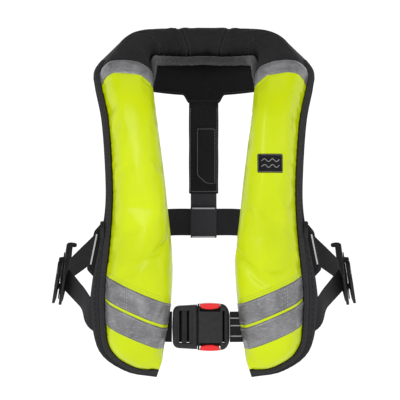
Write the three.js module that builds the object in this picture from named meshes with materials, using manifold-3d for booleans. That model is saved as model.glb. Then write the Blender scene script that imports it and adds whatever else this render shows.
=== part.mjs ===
// Inflatable life jacket as it is worn, in millimetres: -Y is the wearer's front, +X the wearer's left, +Z up.
// The origin is the middle of the neck opening. Names say the wearer's left or right.
import * as THREE from "three";
import { mergeVertices } from "three/addons/utils/BufferGeometryUtils.js";
import Module from "manifold-3d";

const wasm = await Module();
wasm.setup();

// ---------------------------------------------------------------- driving dimensions
const jacketWidth = 368; // across the shoulders
const jacketHeight = 594; // hem to nape
const gap = 0.3; // left between pieces that touch

const panelT = 2.4; // back panel: mesh, spacer and lining
const coverWall = 1.6; // front cover fabric with its lining
const bladderGap = 1.2; // folded bladder inside the cover
const bindingW = 10; // outer edge binding
const bindingT = 3.8;
const zipT = 2;
const rollW = 13; // fleece roll along the neck edge
const tapeT = 0.7; // reflective tape
const tapeW = 34;
const tapeSpacing = 41.5; // between the two lower tapes
const tapeSlope = 23; // degrees

const webW = 50; // waist belt webbing
const webT = 1.8;
const buckleT = 15;
const buckleH = 75;
const tongueTravel = 42;
const buttonTravel = 3;

const sleeveW = webW + 4; // back strap sleeve, with the loop's webbing inside
const sleeveT = 5;
const adjusterL = 88; // side adjuster, along the webbing
const adjusterH = 68; // across the webbing
const adjusterT = 5;
const adjusterTurn = 9; // degrees its face looks forwards
const adjusterLean = 8; // degrees its face looks upwards
const barT = 6; // bars that the webbing turns round
const leverTravel = 35; // degrees, checked against the frame beside it

const cylinderR = 16; // gas cylinder
const cylinderL = 104;
const inflatorSize = new THREE.Vector3(44, 24, 34);
const oralTubeR = 6.5;

// ---------------------------------------------------------------- materials
const material = (color, roughness, metalness = 0) =>
  new THREE.MeshStandardMaterial({ color, roughness, metalness });
const yellowPvc = material(0xd6ea0c, 0.4);
const blackFabric = material(0x232325, 0.9);
const fleece = material(0x2e2e30, 1);
const blackMesh = material(0x141416, 0.95);
const reflective = material(0x9b9ba0, 0.45);
const webbing = material(0x18181a, 0.85);
const blackPlastic = material(0x262628, 0.45);
const redPlastic = material(0xe3252b, 0.4);
const bladderFabric = material(0xf07818, 0.6);
const steel = material(0xb9bcc0, 0.3, 1);
const greyTrim = material(0x8a8a8e, 0.6);

// ---------------------------------------------------------------- solids and meshes
const jacket = new THREE.Group();
const V = (x, y, z) => new THREE.Vector3(x, y, z);

function add(name, geometry, mat, parent = jacket) {
  const mesh = new THREE.Mesh(geometry, mat);
  mesh.name = name;
  parent.add(mesh);
  return mesh;
}

// Triangles of a flat outline, turned the way the outline runs.
function endFaces(outline) {
  const faces = THREE.ShapeUtils.triangulateShape(outline, []);
  return THREE.ShapeUtils.isClockWise(outline) ? faces.map((f) => f.toReversed()) : faces;
}

// A closed body skinned over rings of points. Each ring has its flat outline too, which triangulates the ends
// and turns each quad's diagonal the same way as in the layers above and below it.
function skin(rings, outlines) {
  const m = rings[0].length;
  const faces = [];
  for (let i = 0; i + 1 < rings.length; i++)
    for (let j = 0; j < m; j++) {
      const next = (j + 1) % m;
      const a = i * m + j;
      const b = i * m + next;
      if (outlines[i][j].x <= outlines[i][next].x) faces.push(a, b, b + m, a, b + m, a + m);
      else faces.push(a, b, a + m, b, b + m, a + m);
    }
  const last = (rings.length - 1) * m;
  for (const f of endFaces(outlines[0])) faces.push(f[2], f[1], f[0]);
  for (const f of endFaces(outlines.at(-1))) faces.push(last + f[0], last + f[1], last + f[2]);
  const points = rings.flat();
  let volume = 0;
  for (let i = 0; i < faces.length; i += 3) {
    const [a, b, c] = [points[faces[i]], points[faces[i + 1]], points[faces[i + 2]]];
    volume += a.dot(b.clone().cross(c));
  }
  if (volume < 0) faces.reverse();
  const geometry = new THREE.BufferGeometry().setFromPoints(points);
  return geometry.setIndex(faces);
}

function solid(geometry, matrix = new THREE.Matrix4()) {
  const g = geometry.clone().applyMatrix4(matrix);
  g.deleteAttribute("normal");
  g.deleteAttribute("uv");
  const merged = mergeVertices(g, 1e-4);
  return new wasm.Manifold(
    new wasm.Mesh({
      numProp: 3,
      vertProperties: merged.attributes.position.array,
      triVerts: new Uint32Array(merged.index.array),
    }),
  );
}

function geometryOf(manifold) {
  const biggest = manifold.decompose().sort((a, b) => b.volume() - a.volume())[0];
  const mesh = biggest.getMesh();
  return new THREE.BufferGeometry()
    .setAttribute("position", new THREE.BufferAttribute(new Float32Array(mesh.vertProperties), 3))
    .setIndex(new THREE.BufferAttribute(new Uint32Array(mesh.triVerts), 1));
}

const moved = (x, y, z) => new THREE.Matrix4().makeTranslation(x, y, z);

function roundedRect(w, h, r) {
  const s = new THREE.Shape();
  s.moveTo(-w / 2 + r, -h / 2);
  s.lineTo(w / 2 - r, -h / 2);
  s.absarc(w / 2 - r, -h / 2 + r, r, -Math.PI / 2, 0);
  s.lineTo(w / 2, h / 2 - r);
  s.absarc(w / 2 - r, h / 2 - r, r, 0, Math.PI / 2);
  s.lineTo(-w / 2 + r, h / 2);
  s.absarc(-w / 2 + r, h / 2 - r, r, Math.PI / 2, Math.PI);
  s.lineTo(-w / 2, -h / 2 + r);
  s.absarc(-w / 2 + r, -h / 2 + r, r, Math.PI, 1.5 * Math.PI);
  return s;
}

function rectHole(x, y, w, h, r = 1.5) {
  const hole = new THREE.Path();
  hole.setFromPoints(roundedRect(w, h, r).getPoints(2).map((p) => p.add(new THREE.Vector2(x, y))));
  return hole;
}

// A plate centred on its thickness, with bevelled rims that stay inside the shape.
function plate(shape, thickness, bevel = 0.8, curveSegments = 2) {
  const g = new THREE.ExtrudeGeometry(shape, {
    depth: thickness - 2 * bevel,
    bevelEnabled: bevel > 0,
    bevelThickness: bevel,
    bevelSize: bevel,
    bevelOffset: -bevel,
    bevelSegments: 1,
    curveSegments,
  });
  return g.translate(0, 0, -thickness / 2 + bevel);
}

// ---------------------------------------------------------------- the band: lobe, shoulder, collar, lobe
// The outline below is drawn at this size and stretched to the jacket's.
const drawn = { width: 368, height: 594 };
const at = (x, y, z) => V((x * jacketWidth) / drawn.width, y, (z * jacketHeight) / drawn.height);

// One half of the jacket's back plane from the hem to the nape: a point of the outer edge, a point of the inner
// edge, how deep the folded bladder makes the jacket there, and how far the back panel stands out past the binding.
const chest = -92;
const half = [
  { outer: at(76, chest, -492), inner: at(68, chest, -468), depth: 15, margin: 3 },
  { outer: at(122, chest, -484), inner: at(64, chest, -442), depth: 34, margin: 4 },
  { outer: at(162, chest, -451), inner: at(58, chest, -410), depth: 46, margin: 8 },
  { outer: at(170, chest, -386), inner: at(52, chest, -363), depth: 49, margin: 14 },
  { outer: at(169, chest, -338), inner: at(50, chest, -328), depth: 49, margin: 12 },
  { outer: at(163, chest, -281), inner: at(52, chest, -280), depth: 48, margin: 7 },
  { outer: at(159, chest, -224), inner: at(58, chest, -224), depth: 47, margin: 1.5 },
  { outer: at(159, chest, -167), inner: at(64, chest, -168), depth: 46, margin: 1 },
  { outer: at(166, -82, -81), inner: at(76, -80, -79), depth: 45, margin: 1 },
  { outer: at(180, -55, -22), inner: at(84, -56, -37), depth: 44, margin: 1 },
  { outer: at(184, -30, 10), inner: at(90, -28, -8), depth: 43, margin: 1 },
  { outer: at(163, 6, 44), inner: at(97, 10, 24), depth: 41, margin: 1 },
  { outer: at(130, 50, 82), inner: at(84, 42, 36), depth: 39, margin: 1 },
  { outer: at(79, 76, 97), inner: at(50, 63, 42), depth: 38, margin: 1 },
  { outer: at(0, 84, 101), inner: at(0, 70, 46), depth: 38, margin: 1 },
];
const mirrored = (p) => V(-p.x, p.y, p.z);
const stations = [
  ...half,
  ...half
    .slice(0, -1)
    .reverse()
    .map((s) => ({ ...s, outer: mirrored(s.outer), inner: mirrored(s.inner) })),
];
const through = (points) => new THREE.CatmullRomCurve3(points, false, "catmullrom", 0.5);
const outerEdge = through(stations.map((s) => s.outer));
const innerEdge = through(stations.map((s) => s.inner));
const sizes = through(stations.map((s) => V(s.depth, s.margin, 0)));

// Places along the band: 0 is the hem of the left lobe, 0.5 the nape and 1 the hem of the right lobe.
const row = (index) => index / (stations.length - 1);
const seam = row(9.5); // lobe cover meets collar cover
const bindingEnd = row(10.5);
const zipTop = row(5.5);
const step = gap / 1100; // a gap along the band
const cells = 4 * (half.length - 1); // every layer bends at the same cells, so that the layers nest

function bandFrame(s) {
  const t = Math.min(Math.max(s, 0), 1);
  const outer = outerEdge.getPoint(t);
  const inner = innerEdge.getPoint(t);
  const across = inner.clone().sub(outer);
  const width = across.length();
  across.normalize();
  const d = 0.002;
  const middle = (u) => outerEdge.getPoint(u).add(innerEdge.getPoint(u));
  const along = middle(Math.min(t + d, 1)).sub(middle(Math.max(t - d, 0))).normalize();
  const front = along.clone().cross(across).normalize();
  const size = sizes.getPoint(t);
  return { outer, across, front, width, depth: size.x, margin: size.y };
}
const grid = Array.from({ length: cells + 1 }, (_, i) => bandFrame(i / cells));

// The frame at s, straight between the two nearest frames of the grid.
function frameAt(s) {
  const place = Math.min(Math.max(s, 0), 1) * cells;
  const i = Math.min(Math.floor(place), cells - 1);
  const [p, q] = [grid[i], grid[i + 1]];
  const mix = (key) => THREE.MathUtils.lerp(p[key], q[key], place - i);
  return {
    outer: p.outer.clone().lerp(q.outer, place - i),
    across: p.across.clone().lerp(q.across, place - i),
    front: p.front.clone().lerp(q.front, place - i),
    width: mix("width"),
    depth: mix("depth"),
    margin: mix("margin"),
  };
}

function bandPoint(frame, a, b) {
  return frame.outer.clone().addScaledVector(frame.across, a).addScaledVector(frame.front, b);
}

// A solid that follows the band between two places. outline(frame, s) gives its section as [across, up] pairs.
function bandSolid(one, other, outline) {
  const [s0, s1] = [Math.min(one, other), Math.max(one, other)];
  const rings = [];
  const flats = [];
  const inside = grid.map((_, i) => i / cells).filter((s) => s > s0 + step && s < s1 - step);
  for (const s of [s0, ...inside, s1]) {
    const frame = frameAt(s);
    const section = outline(frame, s);
    flats.push(section.map(([a, b]) => new THREE.Vector2(a, b)));
    rings.push(section.map(([a, b]) => bandPoint(frame, a, b)));
  }
  return skin(rings, flats);
}

// The cover's section: shares of its width and depth, gently up from the binding and round at the inner edge.
const dome = new THREE.SplineCurve(
  [
    [0, 0],
    [0.03, 0.42],
    [0.2, 0.84],
    [0.52, 1],
    [0.82, 0.93],
    [0.98, 0.6],
    [0.99, 0],
  ].map(([x, y]) => new THREE.Vector2(x, y)),
).getPoints(9);
const foot = panelT + gap;

function outerFoot(s) {
  const fromSeam = Math.min(s, 1 - s) - bindingEnd;
  return THREE.MathUtils.lerp(bindingW + gap, 2, THREE.MathUtils.smoothstep(fromSeam, 0, row(1)));
}

// The dome's section moved inwards by inset, standing at height base.
function domeSection(inset, base = foot) {
  return (frame, s) => {
    const start = outerFoot(s);
    const points = dome.map(
      (p) =>
        new THREE.Vector2(start + (frame.width - start) * p.x, foot + (frame.depth - foot) * p.y),
    );
    const last = points.length - 1;
    const top = points.map((p, i) => {
      if (i === 0) return [p.x + inset, base];
      if (i === last) return [p.x - inset, base];
      const along = points[i + 1].clone().sub(points[i - 1]).normalize();
      return [p.x + along.y * inset, p.y - along.x * inset];
    });
    return [...top, ...acrossPoints(top[last][0], top[0][0], base).slice(1, -1)];
  };
}

// Points across the band at one height, close enough together to follow its twist.
const acrossPoints = (a0, a1, b) => [0, 0.25, 0.5, 0.75, 1].map((t) => [a0 + (a1 - a0) * t, b]);

const domeBody = (s0, s1, inset, base) => solid(bandSolid(s0, s1, domeSection(inset, base)));

// A cover is the dome less the same dome a wall further in.
function domeShell(shellFrom, shellTo, insideFrom, insideTo) {
  const shell = domeBody(shellFrom, shellTo, 0);
  return geometryOf(shell.subtract(domeBody(insideFrom, insideTo, coverWall, foot - 1)));
}

// The back panel: from its margin under the binding to the band's inner edge and back.
function panelSection(frame) {
  const rest = (b) => acrossPoints(bindingW + gap, frame.width, b);
  const under = [[-frame.margin, 0], [0, 0], ...rest(0)];
  const over = [[-frame.margin, panelT], [0, panelT], ...rest(panelT)];
  return [...under, ...over.reverse()];
}

// Both lobes, each with its panel, binding, zip and cover. The right one is the left one's mirror image.
for (const [name, side] of [
  ["left", 1],
  ["right", -1],
]) {
  const place = (s) => (side > 0 ? s : 1 - s);
  const hemWall = row(0.4); // the cover is closed along the hem
  add(
    `lobe_cover_${name}`,
    domeShell(place(0), place(seam - step), place(hemWall), place(seam + 0.02)),
    yellowPvc,
  );
  add(`back_panel_${name}`, bandSolid(place(0), place(seam - step), panelSection), blackMesh);
  const bound = bandSolid(place(0), place(bindingEnd), () => [
    [0, foot],
    [bindingW, foot],
    [bindingW - 1.2, foot + bindingT],
    [1.2, foot + bindingT],
  ]);
  add(`edge_binding_${name}`, bound, blackFabric);
  const zip = bandSolid(place(0), place(zipTop), (frame) => [
    [0.5 - frame.margin, foot],
    [-gap, foot],
    [-gap, foot + zipT],
    [0.5 - frame.margin, foot + zipT],
  ]);
  add(`zip_${name}`, zip, webbing);
}

// Collar: cover, and the fleece liner whose roll shows along the neck edge.
{
  const ends = [seam + step, 1 - seam - step];
  add("collar_cover", domeShell(...ends, seam - 0.02, 1 - seam + 0.02), blackFabric);
  const rollSection = (frame, s) => {
    const panel = panelSection(frame);
    const edge = frame.width;
    const full = THREE.MathUtils.smoothstep(Math.min(s, 1 - s), seam, seam + row(1.5));
    const size = THREE.MathUtils.lerp(3, rollW, full);
    const roll = [
      [edge + size * 0.6, 0],
      [edge + size, size * 0.35],
      [edge + size, size],
      [edge + size * 0.6, size * 1.35],
      [edge + gap + 0.4, size * 1.2],
      [edge + gap + 0.4, panelT],
    ];
    const corner = panel.length / 2;
    return [...panel.slice(0, corner), ...roll, ...panel.slice(corner)];
  };
  add("collar_liner", bandSolid(...ends, rollSection), fleece);
}

// One folded bladder runs from lobe to lobe behind the covers, above the hardware in each lobe's foot.
const bladderEnd = row(5.5);
const folded = domeSection(coverWall + bladderGap, foot + gap);
add("bladder", bandSolid(bladderEnd, 1 - bladderEnd, folded), bladderFabric);

// ---------------------------------------------------------------- reflective tapes
function tapeShell(s0, s1) {
  const outside = domeBody(s0, s1, -(gap + tapeT), foot + bindingT + gap);
  const inside = domeBody(Math.min(s0, s1) - 0.01, Math.max(s0, s1) + 0.01, -gap, foot - 3);
  return outside.subtract(inside);
}

const tapeTopAtBinding = at(154, 0, -332);
for (const [name, side] of [
  ["left", 1],
  ["right", -1],
]) {
  const place = (s) => (side > 0 ? s : 1 - s);
  // the shoulder tape covers the seam between lobe and collar
  const shoulder = tapeShell(place(row(9.1)), place(row(9.75)));
  add(`shoulder_tape_${name}`, geometryOf(shoulder), reflective);
  const around = tapeShell(place(row(0.4)), place(row(5.2)));
  for (const [level, index] of [
    ["upper", 0],
    ["lower", 1],
  ]) {
    const cut = new THREE.BoxGeometry(260, 300, tapeW);
    const down = tapeTopAtBinding.z - index * tapeSpacing;
    const turn = new THREE.Matrix4().makeRotationY(THREE.MathUtils.degToRad(side * -tapeSlope));
    cut.translate(0, 0, -tapeW / 2);
    cut.applyMatrix4(turn);
    cut.translate(side * tapeTopAtBinding.x, chest - 5 - 150, down);
    add(`${level}_tape_${name}`, geometryOf(around.intersect(solid(cut))), reflective);
  }
}

// a plain woven badge on the left lobe
{
  const badge = plate(roundedRect(40, 30, 4), 60, 0);
  const matrix = moved(at(104, 0, -150).x, chest - 49, at(104, 0, -150).z).multiply(
    new THREE.Matrix4().makeRotationX(Math.PI / 2),
  );
  const shell = tapeShell(row(6), row(8.6));
  add("badge", geometryOf(shell.intersect(solid(badge, matrix))), greyTrim);
}

// ---------------------------------------------------------------- back yoke, strap and belt loop
const yokeHalf = 92;
const yokeBottom = -18;
const yokeTop = 50;
const yokeBend = 62;
const strapTop = V(0, 93, -20);
const strapFoot = at(0, 112, -196);
const beltBackZ = at(0, 0, -245).z;
const strapLean = Math.atan2(strapFoot.y - strapTop.y, strapTop.z - strapFoot.z);
const strapLength = strapTop.distanceTo(strapFoot);

{
  // the yoke hangs from the collar and hugs the neck, its sides bent forwards
  const beside = sleeveW / 2 + 10;
  const columns = [0, sleeveW / 2 - 6, sleeveW / 2, beside, 50, 64, 78, yokeHalf];
  const section = (x) => {
    const bottom = yokeBottom - 9 * (1 - THREE.MathUtils.smoothstep(Math.abs(x), sleeveW / 2, beside));
    const heights = [0, 0.2, 0.4, 0.6, 0.8, 1].map((t) => THREE.MathUtils.lerp(bottom, yokeTop, t));
    return heights.map((z) => {
      const hang = strapTop.y + (strapTop.z - z) * Math.tan(strapLean);
      return V(x, hang - yokeBend * (x / yokeHalf) ** 2, z);
    });
  };
  const rings = [...columns.slice(1).reverse().map((x) => -x), ...columns].map((x) => {
    const face = section(x);
    const rear = face.map((p) => p.clone().add(V(0, panelT, 0)));
    return [...face, ...rear.reverse()];
  });
  const flats = rings.map((ring) => ring.map((p) => new THREE.Vector2(p.z, p.y)));
  const grown = (f) => [
    ...acrossPoints(-f.margin - 2, f.width + rollW + 2, -1),
    ...acrossPoints(f.width + rollW + 2, -f.margin - 2, f.depth + 2),
  ];
  const keepClear = solid(bandSolid(seam - 0.06, 1 - seam + 0.06, grown));
  add("back_yoke", geometryOf(solid(skin(rings, flats)).subtract(keepClear)), blackMesh);
}

const strap = new THREE.Group();
strap.position.copy(strapTop);
strap.rotation.x = strapLean;
jacket.add(strap);
const sleeveTop = -9 / Math.cos(strapLean) - 2 * gap;
const sleeveLength = strapLength + sleeveTop;
{
  // a flat fabric tube: the webbing of the belt loop runs up inside it
  const shape = roundedRect(sleeveW, sleeveT, 1.2);
  shape.holes.push(rectHole(0, 0, webW - 1, webT + 2 * gap, 0.6));
  const g = new THREE.ExtrudeGeometry(shape, { depth: sleeveLength, bevelEnabled: false, curveSegments: 2 });
  add("strap_sleeve", g.translate(0, 0, sleeveTop - sleeveLength), blackFabric, strap);
  const flap = new THREE.Shape([
    new THREE.Vector2(-13, 0),
    new THREE.Vector2(22, 0),
    new THREE.Vector2(22, -110),
    new THREE.Vector2(4, -108),
    new THREE.Vector2(-13, -92),
  ]);
  const flapG = plate(flap, 1.6, 0.4);
  flapG.rotateX(Math.PI / 2);
  add("strap_flap", flapG.translate(0, -sleeveT / 2 - gap - 0.8, sleeveTop - 44), blackFabric, strap);
}

// The belt loop: webbing that leaves the sleeve and closes round the belt.
const loopTop = sleeveTop - sleeveLength - 24;
const loopInner = webW + 4; // room for the belt's width
const loopRoom = webT + 1.8; // and its thickness
{
  const t = webT + 0.4;
  const side = new THREE.Shape();
  side.moveTo(-t - loopRoom / 2, loopTop);
  side.lineTo(-webT / 2, loopTop);
  side.lineTo(-webT / 2, sleeveTop - sleeveLength + 60);
  side.lineTo(webT / 2, sleeveTop - sleeveLength + 60);
  side.lineTo(webT / 2, loopTop);
  side.lineTo(t + loopRoom / 2, loopTop);
  side.lineTo(t + loopRoom / 2, loopTop - loopInner - 2 * t);
  side.lineTo(-t - loopRoom / 2, loopTop - loopInner - 2 * t);
  side.closePath();
  side.holes.push(rectHole(0, loopTop - t - loopInner / 2, loopRoom, loopInner, 1));
  const width = webW - 2;
  const g = new THREE.ExtrudeGeometry(side, { depth: width, bevelEnabled: false, curveSegments: 2 });
  // the shape's x becomes depth, its y stays up
  const basis = new THREE.Matrix4().makeBasis(V(0, 1, 0), V(0, 0, 1), V(1, 0, 0));
  add("belt_loop", g.applyMatrix4(basis).translate(-width / 2, 0, 0), webbing, strap);
  for (const [name, z] of [
    ["loop_bar_upper", loopTop - 3],
    ["loop_bar_lower", loopTop - loopInner - 2],
  ]) {
    const bar = new THREE.BoxGeometry(width - 6, 0.8, 2.4);
    add(name, bar.translate(0, -t - loopRoom / 2 - gap - 0.4, z), reflective, strap);
  }
}

// ---------------------------------------------------------------- waist belt
// The left half of the belt's middle line, from the buckle to the back. The right half is its mirror image.
const loopCentre = V(0, 0, loopTop - webT - 0.4 - loopInner / 2)
  .applyEuler(strap.rotation)
  .add(strap.position);
const beltFrontY = -83;
const girth = 238; // middle to the belt at the side
const side = (inwards, y, z) => V(at(girth - inwards, 0, 0).x, y, at(0, 0, z).z);
const beltRoute = [
  at(0, beltFrontY, -415),
  at(60, beltFrontY, -415),
  at(125, beltFrontY + 0.5, -412.5),
  at(180, -74, -399),
  side(33, -45, -370),
  side(-3, 0, -337),
  side(31, 47, -305),
  at(178, 86, -280),
  at(130, 102, -263),
  V(70, loopCentre.y, loopCentre.z - 1),
  V(0, loopCentre.y, loopCentre.z),
];
const beltLine = through(beltRoute);
const beltCentre = V(0, loopCentre.y / 2 + beltFrontY / 2, 0);
const beltHalfDepth = (loopCentre.y - beltFrontY) / 2;

function beltFrame(t) {
  const point = beltLine.getPoint(t);
  const along = beltLine.getTangent(t);
  const towardsBack = ((point.y - beltCentre.y) / beltHalfDepth) ** 3 / 2;
  const lean = Math.max(0, towardsBack) * Math.tan(strapLean); // flat in the belt loop at the back
  const out = V((point.x / at(girth, 0, 0).x) ** 3, towardsBack, lean);
  out.addScaledVector(along, -out.dot(along)).normalize();
  const up = out.clone().cross(along).normalize();
  return { point, along, out, up };
}

// Webbing along a list of frames, from point, out and up.
function webStrip(frames, width = webW, thickness = webT) {
  const rings = frames.map((f) =>
    [
      [-1, -1],
      [1, -1],
      [1, 1],
      [-1, 1],
    ].map(([i, j]) =>
      f.point
        .clone()
        .addScaledVector(f.up, (i * width) / 2)
        .addScaledVector(f.out, (j * thickness) / 2),
    ),
  );
  const flat = [
    [-1, -1],
    [1, -1],
    [1, 1],
    [-1, 1],
  ].map(([i, j]) => new THREE.Vector2(i, j));
  return skin(rings, rings.map(() => flat));
}

// The adjuster sits where the belt passes the wearer's side, turned a little forwards and upwards.
const adjusterAt = 0.5;
const adjuster = beltFrame(adjusterAt);
const adjusterOut = V(1, 0, 0)
  .applyAxisAngle(V(0, 1, 0), -THREE.MathUtils.degToRad(adjusterLean))
  .applyAxisAngle(V(0, 0, 1), -THREE.MathUtils.degToRad(adjusterTurn));
const adjusterAlong = adjuster.along.clone().projectOnPlane(adjusterOut).normalize();
const adjusterUp = adjusterOut.clone().cross(adjusterAlong);
const adjusterBasis = new THREE.Matrix4()
  .makeBasis(adjusterAlong, adjusterUp, adjusterOut)
  .setPosition(adjuster.point);
// Local axes of the adjuster: x along the belt towards the back, y up the webbing, z outwards.
const localFrame = (x, z, angle) => {
  const point = V(x, 0, z).applyMatrix4(adjusterBasis);
  const out = V(-Math.sin(angle), 0, Math.cos(angle)).transformDirection(adjusterBasis);
  return { point, out, up: adjusterUp.clone() };
};
const barX = 9; // the two webbing bars, either side of the middle
const turnR = adjusterT / 2 + 2 * gap + webT / 2; // the webbing's turn round a bar
const turnSteps = 8;

// Webbing that comes in along x below the frame, goes round the bar and ends in a short tail on top of it.
function turnFrames(direction, tail) {
  const frames = [];
  const cx = direction * barX;
  for (let i = 0; i <= turnSteps; i++) {
    const angle = (Math.PI * i) / turnSteps;
    const x = cx - direction * turnR * Math.sin(angle);
    const z = -turnR * Math.cos(angle);
    frames.push(localFrame(x, z, direction * angle));
  }
  frames.push(localFrame(cx + direction * tail, turnR, direction * Math.PI));
  return frames;
}

// Frames of the belt line between two places along it.
function beltFrames(t0, t1, count) {
  const frames = [];
  for (let i = 0; i <= count; i++) frames.push(beltFrame(t0 + ((t1 - t0) * i) / count));
  return frames;
}

const placeNear = (x) => {
  // the place along the belt line whose x in the adjuster's frame is the given one
  const inverse = adjusterBasis.clone().invert();
  let best = adjusterAt;
  let least = Infinity;
  for (let t = 0.2; t < 0.8; t += 0.001) {
    const away = Math.abs(beltLine.getPoint(t).applyMatrix4(inverse).x - x);
    if (away < least) {
      least = away;
      best = t;
    }
  }
  return best;
};
const strapLeaves = 54; // from the adjuster's middle to where the strap takes up the belt's line
const frontJoin = placeNear(-strapLeaves);
const backJoin = placeNear(strapLeaves);
const buckleX = 40; // the webbing reaches in as far as the buckle's bars
const tongueBarX = 41;
const beltStart = (x) => {
  let t = 0;
  while (beltLine.getPoint(t).x < x) t += 0.0005;
  return t;
};

const housingEnd = at(0, 0, 0).x + 41.5; // the female half reaches this far to the wearer's left
const tongueEnd = 52; // and the male half this far to the wearer's right
const frontWeb = {
  left: [...beltFrames(beltStart(housingEnd + gap), frontJoin, 14), ...turnFrames(-1, 26)],
  right: [...beltFrames(beltStart(tongueEnd + gap), frontJoin, 14), ...turnFrames(-1, 26)],
};
for (const name of ["left", "right"]) {
  const g = webStrip(frontWeb[name]);
  const mesh = add(`front_belt_${name}`, g, webbing);
  if (name === "right") mesh.scale.x = -1;
}
{
  const leftHalf = [...beltFrames(backJoin, 1, 16)];
  const flip = (f) => ({ point: mirrored(f.point), out: mirrored(f.out), up: mirrored(f.up) });
  const loops = turnFrames(1, 22).reverse();
  const left = [...loops, ...leftHalf];
  const right = left.slice(0, -1).reverse().map(flip);
  add("back_belt", webStrip([...left, ...right]), webbing);
}

// ---------------------------------------------------------------- side adjusters
const leverL = 54;
const leverPivotX = 4;
const leverR = 2.6;
const leverOut = turnR + webT / 2 + leverR + 2 * gap;
const railY = adjusterH / 2 - 4; // middle of the side rails, clear of the webbing
// Turns a profile drawn in x and z into a solid of the given width across the webbing.
const across = (profile, width, bevel = 0) => {
  const shape = new THREE.Shape(profile.map(([x, z]) => new THREE.Vector2(x, z)));
  const g = plate(shape, width, bevel);
  return g.rotateX(Math.PI / 2);
};
for (const [name, side] of [
  ["left", 1],
  ["right", -1],
]) {
  const group = new THREE.Group();
  group.scale.x = side;
  jacket.add(group);
  const held = new THREE.Group();
  held.applyMatrix4(adjusterBasis);
  group.add(held);
  const frame = roundedRect(adjusterL, adjusterH, 7);
  const slotH = webW + 3;
  const middleSlot = 2 * (barX - adjusterT / 2 + 0.1);
  const outerSlot = 12;
  const outerX = barX + barT / 2 + 1 + outerSlot / 2;
  frame.holes.push(rectHole(0, 0, middleSlot, slotH, 2));
  frame.holes.push(rectHole(-outerX, 0, outerSlot, slotH, 2), rectHole(outerX, 0, outerSlot, slotH, 2));
  let body = solid(plate(frame, adjusterT, 1.2));
  // side rails under the plate, curled in towards the strap at the back end
  const end = adjusterL / 2;
  const rail = [
    [-end + 6, adjusterT / 2],
    [-end + 6, -1.5],
    [-end + 16, -4.5],
    [0, -7],
    [12, -8.5],
    [end - 1, -8.5],
    [end - 0.5, -13],
    [end + 2, -15.5],
    [end + 5, -15],
    [end + 6.5, -12],
    [end + 6.5, -5],
    [end + 4.5, 0],
    [end, adjusterT / 2],
  ];
  for (const y of [-1, 1]) {
    // ears that carry the lever's pin
    const ear = new THREE.Shape();
    ear.moveTo(-7, 0);
    ear.lineTo(7, 0);
    ear.lineTo(4.5, leverOut);
    ear.absarc(0, leverOut, 4.5, 0, Math.PI);
    ear.closePath();
    const g = new THREE.ExtrudeGeometry(ear, { depth: 4, bevelEnabled: false, curveSegments: 3 });
    g.rotateX(Math.PI / 2);
    g.translate(leverPivotX, y * railY + 2, 0);
    const hole = new THREE.CylinderGeometry(leverR + gap, leverR + gap, 30, 12);
    hole.translate(leverPivotX, y * railY, leverOut);
    const side = solid(across(rail, 6, 1), moved(0, y * (railY + 0.8), 0));
    body = body.add(solid(g)).add(side).subtract(solid(hole));
  }
  add(`adjuster_frame_${name}`, geometryOf(body), blackPlastic, held);

  // the lever: thick at its pin, thinner towards the lifting edge
  const tip = 4 - leverL;
  const profile = [
    [3, -leverR + 0.2],
    [4.2, 0],
    [2.6, 4],
    [-6, 5.4],
    [-20, 4.4],
    [-36, 4.2],
    [tip + 1, 6],
    [tip, 4.6],
    [tip + 1, 1.4],
    [-36, -0.8],
    [-4, -leverR + 0.2],
  ];
  let lever = solid(across(profile, 2 * railY - 5.5, 0.6), moved(leverPivotX, 0, leverOut));
  const grip = new THREE.BoxGeometry(1.6, 2 * railY - 14, 1.6);
  for (const x of [-40, -36, -32]) {
    lever = lever.add(solid(grip, moved(leverPivotX + x, 0, leverOut + 4.4)));
  }
  const pin = new THREE.CylinderGeometry(leverR, leverR, adjusterH - 1, 12);
  lever = lever.add(solid(pin, moved(leverPivotX, 0, leverOut)));
  add(`adjuster_lever_${name}`, geometryOf(lever), blackPlastic, held);
}

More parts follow.
